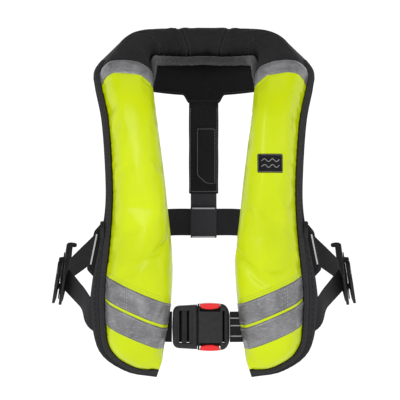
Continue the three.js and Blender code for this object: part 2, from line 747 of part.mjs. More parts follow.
// ---------------------------------------------------------------- front buckle
const buckle = new THREE.Group();
buckle.position.copy(beltRoute[0]);
jacket.add(buckle);
const partingX = -11; // where the two halves meet
const housingL = housingEnd - partingX;
const windowL = 34;
const windowAt = partingX + 3.5 + windowL / 2;
const windowDepth = 9;
const windowH = windowDepth + buttonTravel + 2; // the button moves in, and the cut starts outside the rim
const socketH = 46;
const socketT = 8;
{
  // Shapes are drawn in x and z, then laid to face the front.
  const facing = new THREE.Matrix4().makeRotationX(Math.PI / 2);
  const outline = new THREE.Shape();
  const h = buckleH / 2;
  outline.moveTo(partingX + 0.4, -h);
  outline.lineTo(housingEnd - 16, -h);
  outline.quadraticCurveTo(housingEnd - 2, -h, housingEnd, -h + 18);
  outline.lineTo(housingEnd, h - 18);
  outline.quadraticCurveTo(housingEnd - 2, h, housingEnd - 16, h);
  outline.lineTo(partingX + 0.4, h);
  outline.closePath();
  let housing = solid(plate(outline, buckleT, 2.4, 6), facing);
  const box = (l, t, hh, x, y, z) => solid(new THREE.BoxGeometry(l, t, hh), moved(x, y, z));
  // socket for the tongue, and the windows that the release buttons sit in
  housing = housing.subtract(box(40, socketT, socketH, partingX + 18, 0, 0));
  for (const s of [-1, 1])
    housing = housing.subtract(
      box(windowL, buckleT + 2, windowH, windowAt, 0, s * (h + 2 - windowH / 2)),
    );
  // slot for the webbing, with the bar that it goes round
  housing = housing.subtract(box(3.5, buckleT + 2, webW + 4, housingEnd - 10, 0, 0));
  // raised rib in front of the webbing
  const rib = new THREE.CapsuleGeometry(2.6, buckleH - 26, 3, 8);
  rib.rotateX(Math.PI / 2);
  housing = housing.add(solid(rib, moved(housingEnd - 5.2, -buckleT / 2 + 0.4, 0)));
  // room for the webbing where it comes in at either end
  const room = solid(webStrip(beltFrames(0, frontJoin, 4), webW + 2 * gap, webT + 2 * gap));
  const webRoom = room.translate([0, -buckle.position.y, -buckle.position.z]);
  housing = housing.subtract(webRoom.intersect(box(12, 20, 80, housingEnd, 0, 0)));
  add("buckle_housing", geometryOf(housing), blackPlastic, buckle);

  for (const [name, s] of [
    ["upper", 1],
    ["lower", -1],
  ]) {
    const w = windowL - 2 * gap;
    const pad = new THREE.Shape();
    pad.moveTo(-w / 2, 0);
    pad.lineTo(-w / 2 + 2, -windowDepth + 3);
    pad.quadraticCurveTo(0, -windowDepth - 2, w / 2 - 2, -windowDepth + 3);
    pad.lineTo(w / 2, 0);
    pad.quadraticCurveTo(0, 2.4, -w / 2, 0);
    const g = plate(pad, buckleT - 0.6, 1, 6);
    g.applyMatrix4(facing);
    if (s < 0) g.rotateY(Math.PI);
    add(`release_button_${name}`, g.translate(windowAt, 0, s * h), redPlastic, buckle);
  }

  // male half: a ribbed frame for the webbing and a tongue that goes into the socket
  const male = new THREE.Shape();
  male.moveTo(partingX - 0.4, -h + 1.5);
  male.lineTo(-tongueEnd + 13, -h + 3);
  male.quadraticCurveTo(-tongueEnd + 3, -h + 3, -tongueEnd + 1, -h + 12);
  male.lineTo(-tongueEnd, 0);
  male.lineTo(-tongueEnd + 1, h - 12);
  male.quadraticCurveTo(-tongueEnd + 3, h - 3, -tongueEnd + 13, h - 3);
  male.lineTo(partingX - 0.4, h - 1.5);
  male.closePath();
  const maleX = (partingX - tongueEnd) / 2;
  let tongue = solid(plate(male, buckleT - 1, 2, 5), facing);
  tongue = tongue.subtract(box(26, 6, webW + 4, maleX, -buckleT / 2, 0));
  for (const x of [-7, 5]) {
    tongue = tongue.subtract(box(4.5, buckleT + 2, webW + 4, maleX + x, 0, 0));
  }
  for (const x of [-3.4, -0.6, 2.2]) {
    const ridge = new THREE.CylinderGeometry(1.1, 1.1, webW + 3, 6);
    ridge.rotateX(Math.PI / 2);
    tongue = tongue.add(solid(ridge, moved(maleX + x, -buckleT / 2 + 3.1, 0)));
  }
  for (const s of [-1, 1]) {
    const arm = new THREE.Shape();
    arm.moveTo(-1, -5);
    arm.lineTo(24, -4);
    arm.quadraticCurveTo(33, -3, 33, 1);
    arm.quadraticCurveTo(33, 5, 28, 5);
    arm.lineTo(-1, 5);
    arm.closePath();
    const g = plate(arm, socketT - 2, 0.8);
    g.applyMatrix4(facing);
    tongue = tongue.add(solid(g, moved(partingX, 0, s * (socketH / 2 - 7.5))));
  }
  tongue = tongue.add(box(30, socketT - 3, 9, partingX + 14, 0, 0));
  tongue = tongue.subtract(webRoom.mirror([1, 0, 0]).intersect(box(12, 20, 80, -tongueEnd, 0, 0)));
  add("buckle_tongue", geometryOf(tongue), blackPlastic, buckle);
}

// ---------------------------------------------------------------- zip sliders, side tabs and belt keepers
const pullZ = 2.8; // in front of the slider's middle
const sliderPlace = frameAt(row(5.55));
for (const [name, side] of [
  ["left", 1],
  ["right", -1],
]) {
  const group = new THREE.Group();
  group.scale.x = side;
  jacket.add(group);
  const x = sliderPlace.outer.x + 4.2;
  const y = chest - foot - zipT - gap;
  const z = sliderPlace.outer.z;
  let slider = solid(plate(roundedRect(7, 15, 3), 3.2, 0.6));
  const bridge = new THREE.TorusGeometry(2.6, 0.9, 5, 12);
  bridge.rotateY(Math.PI / 2);
  slider = slider.add(solid(bridge, moved(0, 2, pullZ)));
  const s = new THREE.Group();
  s.position.set(x, y - 1.6, z);
  s.rotation.x = Math.PI / 2;
  group.add(s);
  add(`zip_slider_${name}`, geometryOf(slider), blackPlastic, s);
  // the pull's top bar turns inside the slider's bridge
  const pull = roundedRect(6.4, 24, 2.4);
  pull.holes.push(rectHole(0, 12 - 2 - 1.9, 3, 3.8, 0.8));
  const pullG = plate(pull, 1.8, 0.3);
  add(`zip_pull_${name}`, pullG.translate(0, 2 + 1 - 12, pullZ), blackPlastic, s);

  // side tab with its light bar, behind the panel's outer edge
  const tabY = chest + gap;
  const tab = new THREE.Shape(
    [
      [-24, 44],
      [-4, 45],
      [8, 31],
      [20, -31],
      [8, -44],
      [-18, -44],
    ].map(([u, v]) => new THREE.Vector2(u, v)),
  );
  const tabAt = at(171, 0, -290);
  const tabG = plate(tab, 3, 0.6);
  tabG.rotateX(Math.PI / 2);
  add(`side_tab_${name}`, tabG.translate(tabAt.x, tabY + 1.5, tabAt.z), blackFabric, group);
  const bar = new THREE.BoxGeometry(2.4, 0.8, 50);
  bar.rotateY(THREE.MathUtils.degToRad(-11.5));
  add(`tab_bar_${name}`, bar.translate(tabAt.x + 8.2, tabY - gap - 0.4, tabAt.z + 2), reflective, group);

  // keeper on the back of the lobe, which the front belt passes through
  const room = webT + 3;
  const keeper = new THREE.Shape();
  const kT = 1.6;
  const y0 = chest + gap;
  const y1 = beltFrontY + 1 + room / 2 + kT;
  const kz = beltLine.getPoint(beltStart(118)).z;
  const kh = webW / 2 + 3;
  keeper.moveTo(y0, kz - kh - 12);
  keeper.lineTo(y0 + kT, kz - kh - 12);
  keeper.lineTo(y1, kz - kh);
  keeper.lineTo(y1, kz + kh);
  keeper.lineTo(y0 + kT, kz + kh + 12);
  keeper.lineTo(y0, kz + kh + 12);
  keeper.closePath();
  const hole = new THREE.Path();
  hole.moveTo(y0 + kT, kz - kh + 1);
  hole.lineTo(y0 + kT, kz + kh - 1);
  hole.lineTo(y1 - kT, kz + kh - 1);
  hole.lineTo(y1 - kT, kz - kh + 1);
  hole.closePath();
  keeper.holes.push(hole);
  const kG = new THREE.ExtrudeGeometry(keeper, { depth: 26, bevelEnabled: false });
  kG.applyMatrix4(new THREE.Matrix4().makeBasis(V(0, 1, 0), V(0, 0, 1), V(1, 0, 0)));
  add(`belt_keeper_${name}`, kG.translate(at(105, 0, 0).x, 0, 0), webbing, group);
}

// ---------------------------------------------------------------- inflator in the right lobe
const hardwareY = chest - panelT - gap - cylinderR; // resting just in front of the back panel
{
  const group = new THREE.Group();
  group.position.copy(at(-106, hardwareY, -420));
  group.rotation.y = THREE.MathUtils.degToRad(2);
  jacket.add(group);
  const size = inflatorSize;
  const neckR = 6;
  const neckL = 12;
  const lowZ = size.z / 2 + gap;
  const profile = [
    [0, 0],
    [neckR, 0],
    [neckR, neckL],
    [cylinderR * 0.7, neckL + 5],
    [cylinderR, neckL + 14],
    [cylinderR, cylinderL - 10],
    [cylinderR * 0.75, cylinderL - 2],
    [0, cylinderL],
  ].map(([r, z]) => new THREE.Vector2(r, z));
  const flask = new THREE.LatheGeometry(profile, 16);
  flask.rotateX(Math.PI / 2);
  add("gas_cylinder", flask.translate(0, 0, lowZ), steel, group);

  let head = solid(plate(roundedRect(size.x, size.z, 5), size.y, 1.5), new THREE.Matrix4().makeRotationX(Math.PI / 2));
  const slotW = 6.6;
  head = head.subtract(solid(new THREE.BoxGeometry(slotW, size.y + 2, 22), moved(10, 0, -size.z / 2 + 10)));
  const pinHole = new THREE.CylinderGeometry(2, 2, 26, 10);
  pinHole.rotateZ(Math.PI / 2);
  head = head.subtract(solid(pinHole, moved(14, 0, -5)));
  const stem = new THREE.CylinderGeometry(7, 7, 6, 12);
  head = head.add(solid(stem, moved(-8, size.y / 2 + 1.2, 2)));
  add("inflator_head", geometryOf(head), blackPlastic, group);

  let lever = solid(new THREE.BoxGeometry(slotW - 1, 5, 26), moved(10, 0, -13));
  const pivot = new THREE.CylinderGeometry(1.7, 1.7, 20, 10);
  pivot.rotateZ(Math.PI / 2);
  lever = lever.add(solid(pivot, moved(12, 0, -5)));
  add("firing_lever", geometryOf(lever), redPlastic, group);
}

// ---------------------------------------------------------------- oral tube and whistle in the left lobe
{
  const top = bandFrame(bladderEnd);
  const start = bandPoint(top, top.width * 0.5, foot + 20);
  const route = new THREE.CatmullRomCurve3([
    V(start.x, start.y, start.z - 1),
    V(start.x, start.y, start.z - 25),
    V(start.x + 4, start.y, start.z - 60),
    V(start.x + 6, start.y, start.z - 95),
  ]);
  const ring = new THREE.Shape().absarc(0, 0, oralTubeR, 0, 2 * Math.PI);
  const g = new THREE.ExtrudeGeometry(ring, {
    extrudePath: route,
    steps: 12,
    curveSegments: 5,
    bevelEnabled: false,
  });
  add("oral_tube", g, blackPlastic);
  const end = route.getPoint(1);
  const down = route.getTangent(1);
  const cap = new THREE.LatheGeometry(
    [
      [0, 0],
      [8, 0],
      [8, 9],
      [6, 14],
      [0, 14],
    ].map(([r, z]) => new THREE.Vector2(r, z)),
    14,
  );
  const place = new THREE.Group();
  place.position.copy(end).addScaledVector(down, gap);
  place.quaternion.setFromUnitVectors(V(0, 1, 0), down);
  jacket.add(place);
  add("oral_cap", cap, redPlastic, place);

  const whistle = new THREE.Shape();
  whistle.moveTo(-22, 2);
  whistle.lineTo(4, 2);
  whistle.absarc(6, -8, 10, Math.PI / 2, -Math.PI, true);
  whistle.lineTo(-22, -5);
  whistle.closePath();
  const w = plate(whistle, 14, 1);
  w.rotateZ(Math.PI / 2 - 0.15).rotateX(Math.PI / 2);
  add("whistle", w.translate(at(82, 0, 0).x, chest - foot - gap - 7, at(0, 0, -400).z), redPlastic);
}

export default jacket;
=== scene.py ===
"""Looks of the inflatable life jacket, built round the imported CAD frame. Metres; -Y is the wearer's front."""

import math

import bpy
import numpy as np
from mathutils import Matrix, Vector, noise


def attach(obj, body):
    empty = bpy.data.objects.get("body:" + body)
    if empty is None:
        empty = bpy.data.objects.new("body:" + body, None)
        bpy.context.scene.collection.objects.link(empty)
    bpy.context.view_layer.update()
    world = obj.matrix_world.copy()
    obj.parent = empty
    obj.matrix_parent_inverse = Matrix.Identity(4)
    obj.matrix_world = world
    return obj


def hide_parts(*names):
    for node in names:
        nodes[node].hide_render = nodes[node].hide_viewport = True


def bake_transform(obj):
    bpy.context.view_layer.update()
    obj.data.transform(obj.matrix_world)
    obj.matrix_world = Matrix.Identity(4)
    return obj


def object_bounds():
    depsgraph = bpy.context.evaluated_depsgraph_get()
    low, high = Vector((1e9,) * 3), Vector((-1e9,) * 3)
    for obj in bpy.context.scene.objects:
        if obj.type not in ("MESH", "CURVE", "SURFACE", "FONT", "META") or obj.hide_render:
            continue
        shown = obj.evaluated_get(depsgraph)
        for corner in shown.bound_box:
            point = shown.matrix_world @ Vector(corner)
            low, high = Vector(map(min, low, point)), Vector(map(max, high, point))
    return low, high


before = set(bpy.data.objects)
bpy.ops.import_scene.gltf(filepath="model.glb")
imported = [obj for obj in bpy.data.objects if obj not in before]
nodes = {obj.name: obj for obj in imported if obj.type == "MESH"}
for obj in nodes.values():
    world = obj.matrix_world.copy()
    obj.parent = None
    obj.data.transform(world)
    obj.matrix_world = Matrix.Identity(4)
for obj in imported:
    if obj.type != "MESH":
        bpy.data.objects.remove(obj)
cad_box = [list(corner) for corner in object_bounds()]
scene = bpy.context.scene
scene.view_settings.view_transform = "Standard"
ROOT = "jacket"
MM = 0.001

# ---- camera
LENS_MM = 84.4
CAMERA_PLACE = (-0.0067, -1.615, -0.208)
camera_data = bpy.data.cameras.new("camera")
camera_data.lens = LENS_MM
camera_data.sensor_width = 36
camera = bpy.data.objects.new("camera", camera_data)
camera.location = CAMERA_PLACE
camera.rotation_euler = (math.pi / 2, 0, 0)
scene.collection.objects.link(camera)
scene.camera = camera


# ---- meshes
def link(name, mesh):
    obj = bpy.data.objects.new(name, mesh)
    scene.collection.objects.link(obj)
    return obj


def mesh_object(name, points, faces, uvs=None, smooth=True):
    mesh = bpy.data.meshes.new(name)
    mesh.from_pydata([tuple(p) for p in points], [], [tuple(int(i) for i in f) for f in faces])
    if uvs is not None:
        layer = mesh.uv_layers.new(name="UVMap")
        loops = np.zeros(len(mesh.loops), int)
        mesh.loops.foreach_get("vertex_index", loops)
        layer.data.foreach_set("uv", np.asarray(uvs, float)[loops].ravel())
    mesh.polygons.foreach_set("use_smooth", [smooth] * len(mesh.polygons))
    mesh.validate()
    mesh.update()
    return link(name, mesh)


def loft(name, rings, ring_closed=True, path_closed=False, caps=True, uvs=None, smooth=True):
    """Skin over rings of points, an array of n by m by 3. UVs are metres along and round, if given."""
    n, m = rings.shape[:2]
    faces = []
    for i in range(n if path_closed else n - 1):
        i2 = (i + 1) % n
        for j in range(m if ring_closed else m - 1):
            j2 = (j + 1) % m
            faces.append((i * m + j, i * m + j2, i2 * m + j2, i2 * m + j))
    if caps and ring_closed and not path_closed:
        faces.append(tuple(range(m))[::-1])
        faces.append(tuple((n - 1) * m + j for j in range(m)))
    flat = rings.reshape(-1, 3)
    obj = mesh_object(name, flat, faces, None if uvs is None else uvs.reshape(-1, 2), smooth)
    face_out(obj)
    return obj


def face_out(obj):
    """Turns the faces outwards by the sign of the enclosed volume."""
    mesh = obj.data
    mesh.calc_loop_triangles()
    co = np.zeros(len(mesh.vertices) * 3)
    mesh.vertices.foreach_get("co", co)
    co = co.reshape(-1, 3)
    tri = np.zeros(len(mesh.loop_triangles) * 3, int)
    mesh.loop_triangles.foreach_get("vertices", tri)
    a, b, c = (co[tri.reshape(-1, 3)[:, k]] - co.mean(0) for k in range(3))
    if (a * np.cross(b, c)).sum() < 0:
        mesh.flip_normals()


def join_parts(name, parts, smooth=True):
    """One mesh from (points, faces) parts."""
    points, faces, start = [], [], 0
    for p, f in parts:
        points.append(np.asarray(p, float))
        faces.extend([tuple(i + start for i in face) for face in f])
        start += len(p)
    return mesh_object(name, np.vstack(points), faces, smooth=smooth)


def unit(v):
    v = np.asarray(v, float)
    return v / np.maximum(np.linalg.norm(v, axis=-1, keepdims=True), 1e-12)


def run_of(points):
    """Distance along a line of points."""
    return np.concatenate([[0], np.cumsum(np.linalg.norm(np.diff(points, axis=0), axis=-1))])


def uv_grid(u, v):
    return np.stack(np.meshgrid(u, v, indexing="ij"), -1)


def at_places(at, run, line):
    """Points of a line at the distances at."""
    return np.stack([np.interp(at, run, line[:, k]) for k in range(line.shape[1])], 1)


def smoothstep(x, low, high):
    t = np.clip((np.asarray(x, float) - low) / (high - low), 0, 1)
    return t * t * (3 - 2 * t)


def give(obj, material, body=ROOT, replaces=()):
    """Material, body and the CAD nodes that a piece stands for."""
    obj.data.materials.clear()
    obj.data.materials.append(material)
    if body:
        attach(obj, body)
    if replaces:
        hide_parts(*replaces)
    return obj


# ---- procedural materials
class Nodes:
    """A short way to write a Principled material with its pattern nodes."""

    def __init__(self, name, **values):
        self.material = bpy.data.materials.new(name)
        self.material.use_nodes = True
        self.tree = self.material.node_tree
        self.shader = self.tree.nodes["Principled BSDF"]
        for key, value in values.items():
            self.shader.inputs[key.replace("_", " ")].default_value = value

    def add(self, kind, links=None, values=None, **attributes):
        node = self.tree.nodes.new("ShaderNode" + kind)
        for key, value in attributes.items():
            setattr(node, key, value)
        for key, value in (values or {}).items():
            node.inputs[key].default_value = value
        for key, socket in (links or {}).items():
            self.tree.links.new(socket, node.inputs[key])
        return node

    def math(self, operation, a, b=None, c=None, clamp=False):
        node = self.add("Math", operation=operation, use_clamp=clamp)
        for i, value in enumerate((a, b, c)):
            if value is None:
                continue
            if isinstance(value, (int, float)):
                node.inputs[i].default_value = value
            else:
                self.tree.links.new(value, node.inputs[i])
        return node.outputs[0]

    def place(self, uv=False, scale=(1, 1, 1)):
        source = self.add("TexCoord").outputs["UV" if uv else "Object"]
        return self.add("Mapping", {"Vector": source}, {"Scale": scale}).outputs[0]

    def noise(self, where, scale, detail=3.0, rough=0.5, distortion=0.0):
        values = {"Scale": scale, "Detail": detail, "Roughness": rough, "Distortion": distortion}
        return self.add("TexNoise", {"Vector": where}, values).outputs["Fac"]

    def ramp(self, fac, stops):
        node = self.add("ValToRGB", {"Fac": fac})
        ramp = node.color_ramp
        while len(ramp.elements) < len(stops):
            ramp.elements.new(0.5)
        for element, (at, colour) in zip(ramp.elements, stops):
            element.position = at
            element.color = (*colour, 1) if len(colour) == 3 else colour
        return node.outputs["Color"]

    def grey(self, fac, stops):
        return self.ramp(fac, [(at, (v, v, v)) for at, v in stops])

    def mix(self, fac, a, b):
        node = self.add("Mix", {"Factor": fac}, data_type="RGBA")
        for key, value in (("A", a), ("B", b)):
            socket = [s for s in node.inputs if s.name == key and s.type == "RGBA"][0]
            if isinstance(value, tuple):
                socket.default_value = (*value, 1)
            else:
                self.tree.links.new(value, socket)
        return [s for s in node.outputs if s.type == "RGBA"][0]

    def bump(self, height, strength, distance, under=None):
        links = {"Height": height}
        if under is not None:
            links["Normal"] = under
        return self.add("Bump", links, {"Strength": strength, "Distance": distance}).outputs[0]

    def to(self, key, socket):
        self.tree.links.new(socket, self.shader.inputs[key])
        return self


def sines(m, where, per_metre_x, per_metre_y, phase=0.0):
    """Two sine waves over the first two coordinates, each from -1 to 1."""
    parts = m.add("SeparateXYZ", {"Vector": where}).outputs
    turn = 2 * math.pi
    x = m.math("SINE", m.math("MULTIPLY_ADD", parts[0], per_metre_x * turn, phase))
    y = m.math("SINE", m.math("MULTIPLY_ADD", parts[1], per_metre_y * turn, phase))
    return x, y, parts


def woven_cloth(name, dark, light, pitch, uv=True, rough=0.85, sheen=0.06, strength=0.35, distance=0.0004):
    """Plain weave: over and under threads, a little colour change from thread to thread."""
    m = Nodes(name, Roughness=rough, Sheen_Weight=sheen * 0.4, Sheen_Roughness=0.5, Specular_IOR_Level=0.08)
    where = m.place(uv)
    x, y, _ = sines(m, where, 0.5 / pitch, 0.5 / pitch)
    weave = m.math("MULTIPLY", x, y)
    height = m.math("ABSOLUTE", weave)
    thread = m.noise(m.place(uv, (1, 1, 1)), 0.22 / pitch, 2.0, 0.6)
    broad = m.noise(m.place(False), 14.0, 3.0, 0.6)
    tone = m.math("ADD", m.math("MULTIPLY", thread, 0.6), m.math("MULTIPLY", broad, 0.4))
    tone = m.math("ADD", m.math("MULTIPLY", height, 0.35), m.math("MULTIPLY", tone, 0.65))
    m.to("Base Color", m.ramp(tone, [(0.2, dark), (0.75, light)]))
    soft = m.bump(broad, 0.25, 0.003)
    m.to("Normal", m.bump(height, strength, distance, soft))
    return m.material


def coated_yellow():
    m = Nodes("cover_yellow", Specular_IOR_Level=0.15, Coat_Weight=0.12, Coat_Roughness=0.2)
    where = m.place(True)
    x, y, _ = sines(m, where, 700, 700)
    weave = m.math("ABSOLUTE", m.math("MULTIPLY", x, y))
    object_place = m.place(False)
    broad = m.noise(object_place, 9.0, 3.0, 0.55)
    crinkle = m.noise(object_place, 60.0, 5.0, 0.62, 0.6)
    grime = m.noise(object_place, 28.0, 6.0, 0.7)
    colour = m.ramp(broad, [(0.3, (0.49, 0.60, 0.001)), (0.7, (0.57, 0.69, 0.002))])
    colour = m.mix(m.grey(grime, [(0.62, 0.0), (0.86, 0.16)]), colour, (0.48, 0.60, 0.01))
    m.to("Base Color", colour)
    m.to("Roughness", m.grey(crinkle, [(0.3, 0.26), (0.7, 0.40)]))
    under = m.bump(crinkle, 0.22, 0.0016)
    m.to("Normal", m.bump(weave, 0.12, 0.00012, under))
    return m.material


def fleece_material():
    m = Nodes("fleece_grey", Roughness=0.98, Sheen_Weight=0.22, Sheen_Roughness=0.6, Specular_IOR_Level=0.15)
    where = m.place(False)
    tufts = m.noise(where, 420.0, 4.0, 0.75, 1.2)
    broad = m.noise(where, 60.0, 4.0, 0.65, 0.5)
    tone = m.math("ADD", m.math("MULTIPLY", tufts, 0.6), m.math("MULTIPLY", broad, 0.4))
    m.to("Base Color", m.ramp(tone, [(0.3, (0.010, 0.010, 0.011)), (0.72, (0.052, 0.052, 0.055))]))
    m.to("Normal", m.bump(tufts, 0.8, 0.0016, m.bump(broad, 0.5, 0.003)))
    return m.material


def spacer_mesh():
    """Knitted mesh: rows of round holes in a dark fabric."""
    m = Nodes("spacer_mesh", Roughness=0.9, Sheen_Weight=0.02, Specular_IOR_Level=0.08)
    where = m.place(True)
    holes = m.add("TexVoronoi", {"Vector": where}, {"Scale": 330.0, "Randomness": 0.12}).outputs["Distance"]
    broad = m.noise(m.place(False), 12.0, 3.0)
    edge = m.grey(holes, [(0.16, 0.0), (0.34, 1.0)])
    yarn = m.ramp(broad, [(0.3, (0.012, 0.012, 0.013)), (0.7, (0.03, 0.03, 0.033))])
    # painted shade: the holes are painted near black for the shadowed hollow behind the knit; the yarn between
    # keeps its own dark colour
    m.to("Base Color", m.mix(edge, (0.003, 0.003, 0.003), yarn))
    m.to("Normal", m.bump(edge, 0.5, 0.0006))
    return m.material


def webbing_material(name="webbing_black", dark=(0.004, 0.004, 0.005), light=(0.026, 0.026, 0.028),
                     stripes=False, rib=0.0022):
    """Woven webbing: a twill along the length with slightly raised selvedges; u runs along and v across."""
    m = Nodes(name, Roughness=0.72, Sheen_Weight=0.02, Specular_IOR_Level=0.10)
    where = m.place(True)
    parts = m.add("SeparateXYZ", {"Vector": where}).outputs
    turn = 2 * math.pi
    across = m.math("MULTIPLY", parts[1], turn / rib)
    side = m.math("SINE", across)
    zigzag = m.math("MULTIPLY", side, 1.2)
    along = m.math("MULTIPLY_ADD", parts[0], turn / 0.0019, zigzag)
    twill = m.math("SINE", along)
    height = m.math("ADD", m.math("MULTIPLY", m.math("ABSOLUTE", side), 0.5), m.math("MULTIPLY", twill, 0.3))
    fuzz = m.noise(m.place(False), 900.0, 3.0, 0.7)
    broad = m.noise(m.place(False), 25.0, 3.0)
    dirt = m.math("MULTIPLY", m.math("ADD", fuzz, broad), 0.22)
    tone = m.math("ADD", m.math("MULTIPLY_ADD", height, 0.4, 0.25), dirt)
    colour = m.ramp(tone, [(0.25, dark), (0.8, light)])
    if stripes:
        reach, half_wide, places = stripes
        on = None
        for place in places:
            line = m.math("LESS_THAN", m.math("ABSOLUTE", m.math("SUBTRACT", parts[1], place)), half_wide)
            on = line if on is None else m.math("ADD", on, line)
        on = m.math("MULTIPLY", on, m.math("LESS_THAN", parts[0], reach), clamp=True)
        colour = m.mix(on, colour, (0.36, 0.36, 0.37))
    m.to("Base Color", colour)
    m.to("Normal", m.bump(height, 0.5, 0.0005, m.bump(fuzz, 0.2, 0.0004)))
    return m.material


def binding_material():
    """Grosgrain tape: fine ribs across its width."""
    m = Nodes("binding_black", Roughness=0.75, Sheen_Weight=0.02, Specular_IOR_Level=0.10)
    parts = m.add("SeparateXYZ", {"Vector": m.place(True)}).outputs
    rib = m.math("SINE", m.math("MULTIPLY", parts[0], 2 * math.pi / 0.0021))
    fuzz = m.noise(m.place(False), 500.0, 3.0, 0.7)
    tone = m.math("ADD", m.math("MULTIPLY_ADD", rib, 0.22, 0.3), m.math("MULTIPLY", fuzz, 0.4))
    m.to("Base Color", m.ramp(tone, [(0.2, (0.010, 0.010, 0.011)), (0.85, (0.055, 0.055, 0.06))]))
    m.to("Normal", m.bump(rib, 0.45, 0.0004, m.bump(fuzz, 0.2, 0.0003)))
    return m.material


def reflective_material():
    """Silver tape: rows of tiny cells under a clear skin."""
    m = Nodes("tape_silver", Metallic=0.35, Specular_IOR_Level=0.35, Coat_Weight=0.12, Coat_Roughness=0.22)
    where = m.place(True)
    x, y, _ = sines(m, where, 310, 310)
    cells = m.math("ABSOLUTE", m.math("MULTIPLY", x, y))
    broad = m.noise(m.place(False), 22.0, 4.0, 0.6, 0.8)
    scuffs = m.noise(m.place(False, (1, 1, 3)), 70.0, 6.0, 0.75, 1.5)
    tone = m.math("ADD", m.math("MULTIPLY", cells, 0.2), m.math("MULTIPLY", broad, 0.8))
    colour = m.ramp(tone, [(0.28, (0.10, 0.10, 0.105)), (0.68, (0.25, 0.25, 0.26))])
    colour = m.mix(m.grey(scuffs, [(0.52, 0.0), (0.72, 0.6)]), colour, (0.46, 0.46, 0.47))
    m.to("Base Color", colour)
    m.to("Roughness", m.grey(scuffs, [(0.35, 0.3), (0.7, 0.5)]))
    m.to("Normal", m.bump(broad, 0.3, 0.0022, m.bump(cells, 0.2, 0.0001)))
    return m.material


def plastic(name, dark, light, rough=(0.38, 0.55), grain=900.0, coat=0.0):
    """Moulded plastic: spark-eroded grain, faint handling marks."""
    m = Nodes(name, Specular_IOR_Level=0.2, Coat_Weight=coat, Coat_Roughness=0.2)
    where = m.place(False)
    fine = m.noise(where, grain, 2.0, 0.6)
    marks = m.noise(where, 55.0, 6.0, 0.72, 1.0)
    m.to("Base Color", m.ramp(marks, [(0.35, dark), (0.72, light)]))
    m.to("Roughness", m.grey(marks, [(0.3, rough[0]), (0.7, rough[1])]))
    m.to("Normal", m.bump(fine, 0.16, 0.0002))
    return m.material


def thread_material(name, colour):
    m = Nodes(name, Roughness=0.6, Sheen_Weight=0.3)
    twist = m.noise(m.place(False), 1800.0, 2.0, 0.7)
    m.to("Base Color", m.ramp(twist, [(0.3, tuple(c * 0.7 for c in colour)), (0.7, colour)]))
    m.to("Normal", m.bump(twist, 0.4, 0.0002))
    return m.material


def metal_material():
    m = Nodes("plated_steel", Metallic=1.0)
    where = m.place(False, (1, 1, 0.04))
    brushed = m.noise(where, 900.0, 4.0, 0.7)
    m.to("Base Color", m.ramp(brushed, [(0.3, (0.45, 0.46, 0.47)), (0.7, (0.62, 0.63, 0.64))]))
    m.to("Roughness", m.grey(brushed, [(0.3, 0.22), (0.7, 0.42)]))
    m.to("Normal", m.bump(brushed, 0.1, 0.0002))
    return m.material


YELLOW = coated_yellow()
COLLAR = woven_cloth("collar_black", (0.005, 0.005, 0.0055), (0.030, 0.030, 0.032), 0.0011)
YOKE = woven_cloth("yoke_black", (0.004, 0.004, 0.005), (0.014, 0.014, 0.015), 0.0012)
SLEEVE = woven_cloth("sleeve_black", (0.004, 0.004, 0.0045), (0.020, 0.020, 0.022), 0.0010)
FLEECE = fleece_material()
MESH = spacer_mesh()
WEBBING = webbing_material()
LOOP_WEB = webbing_material("webbing_ribbed", (0.006, 0.006, 0.007), (0.05, 0.05, 0.054), rib=0.0034)
STRIPED = webbing_material("webbing_striped", stripes=(0.105, 0.0009, (0.0142, 0.002, -0.0152)))
BINDING = binding_material()
TAPE = reflective_material()
BLACK_PLASTIC = plastic("plastic_black", (0.007, 0.007, 0.008), (0.018, 0.018, 0.020))
RED_PLASTIC = plastic("plastic_red", (0.70, 0.016, 0.018), (0.84, 0.028, 0.03), (0.3, 0.42), coat=0.2)
YELLOW_THREAD = thread_material("thread_yellow", (0.42, 0.54, 0.01))
BLACK_THREAD = thread_material("thread_black", (0.03, 0.03, 0.032))
GREY_THREAD = thread_material("thread_grey", (0.42, 0.42, 0.43))
BUCKLE_PLASTIC = plastic("plastic_buckle", (0.014, 0.014, 0.015), (0.026, 0.026, 0.028), (0.34, 0.5))
ORANGE_PLASTIC = plastic("plastic_orange", (0.62, 0.10, 0.01), (0.74, 0.15, 0.02), (0.3, 0.42))
PALE_TRIM = plastic("trim_pale", (0.36, 0.36, 0.37), (0.48, 0.48, 0.49), (0.35, 0.5))
STEEL = metal_material()
BLADDER = woven_cloth("bladder_orange", (0.62, 0.16, 0.015), (0.80, 0.24, 0.03), 0.0008, rough=0.5, sheen=0.0)

floor_shade = Nodes("floor_white", Roughness=0.9, Emission_Strength=0.86)
floor_shade.shader.inputs["Emission Color"].default_value = (1, 1, 1, 1)
mottle = floor_shade.noise(floor_shade.place(False), 0.6, 2.0)
floor_shade.to("Base Color", floor_shade.grey(mottle, [(0.3, 0.24), (0.7, 0.26)]))
FLOOR_DROP = 0.16
FLAT_RADIUS = 2.6
SWEEP = 1.4
angles = np.linspace(0, 2 * math.pi, 97)[:-1]
profile = [(0.0004, 0.0), (1.2, 0.0), (FLAT_RADIUS, 0.0)]
profile += [(FLAT_RADIUS + SWEEP * math.sin(a), SWEEP - SWEEP * math.cos(a))
            for a in np.linspace(0.15, math.pi / 2, 10)]
profile += [(4.0, 3.2)]
low = cad_box[0][2] - FLOOR_DROP
rings = np.array([[(r * math.cos(a), r * math.sin(a), low + z) for a in angles] for r, z in profile])
floor = loft("floor", rings, caps=False)
floor.data.flip_normals()
floor.data.materials.append(floor_shade.material)


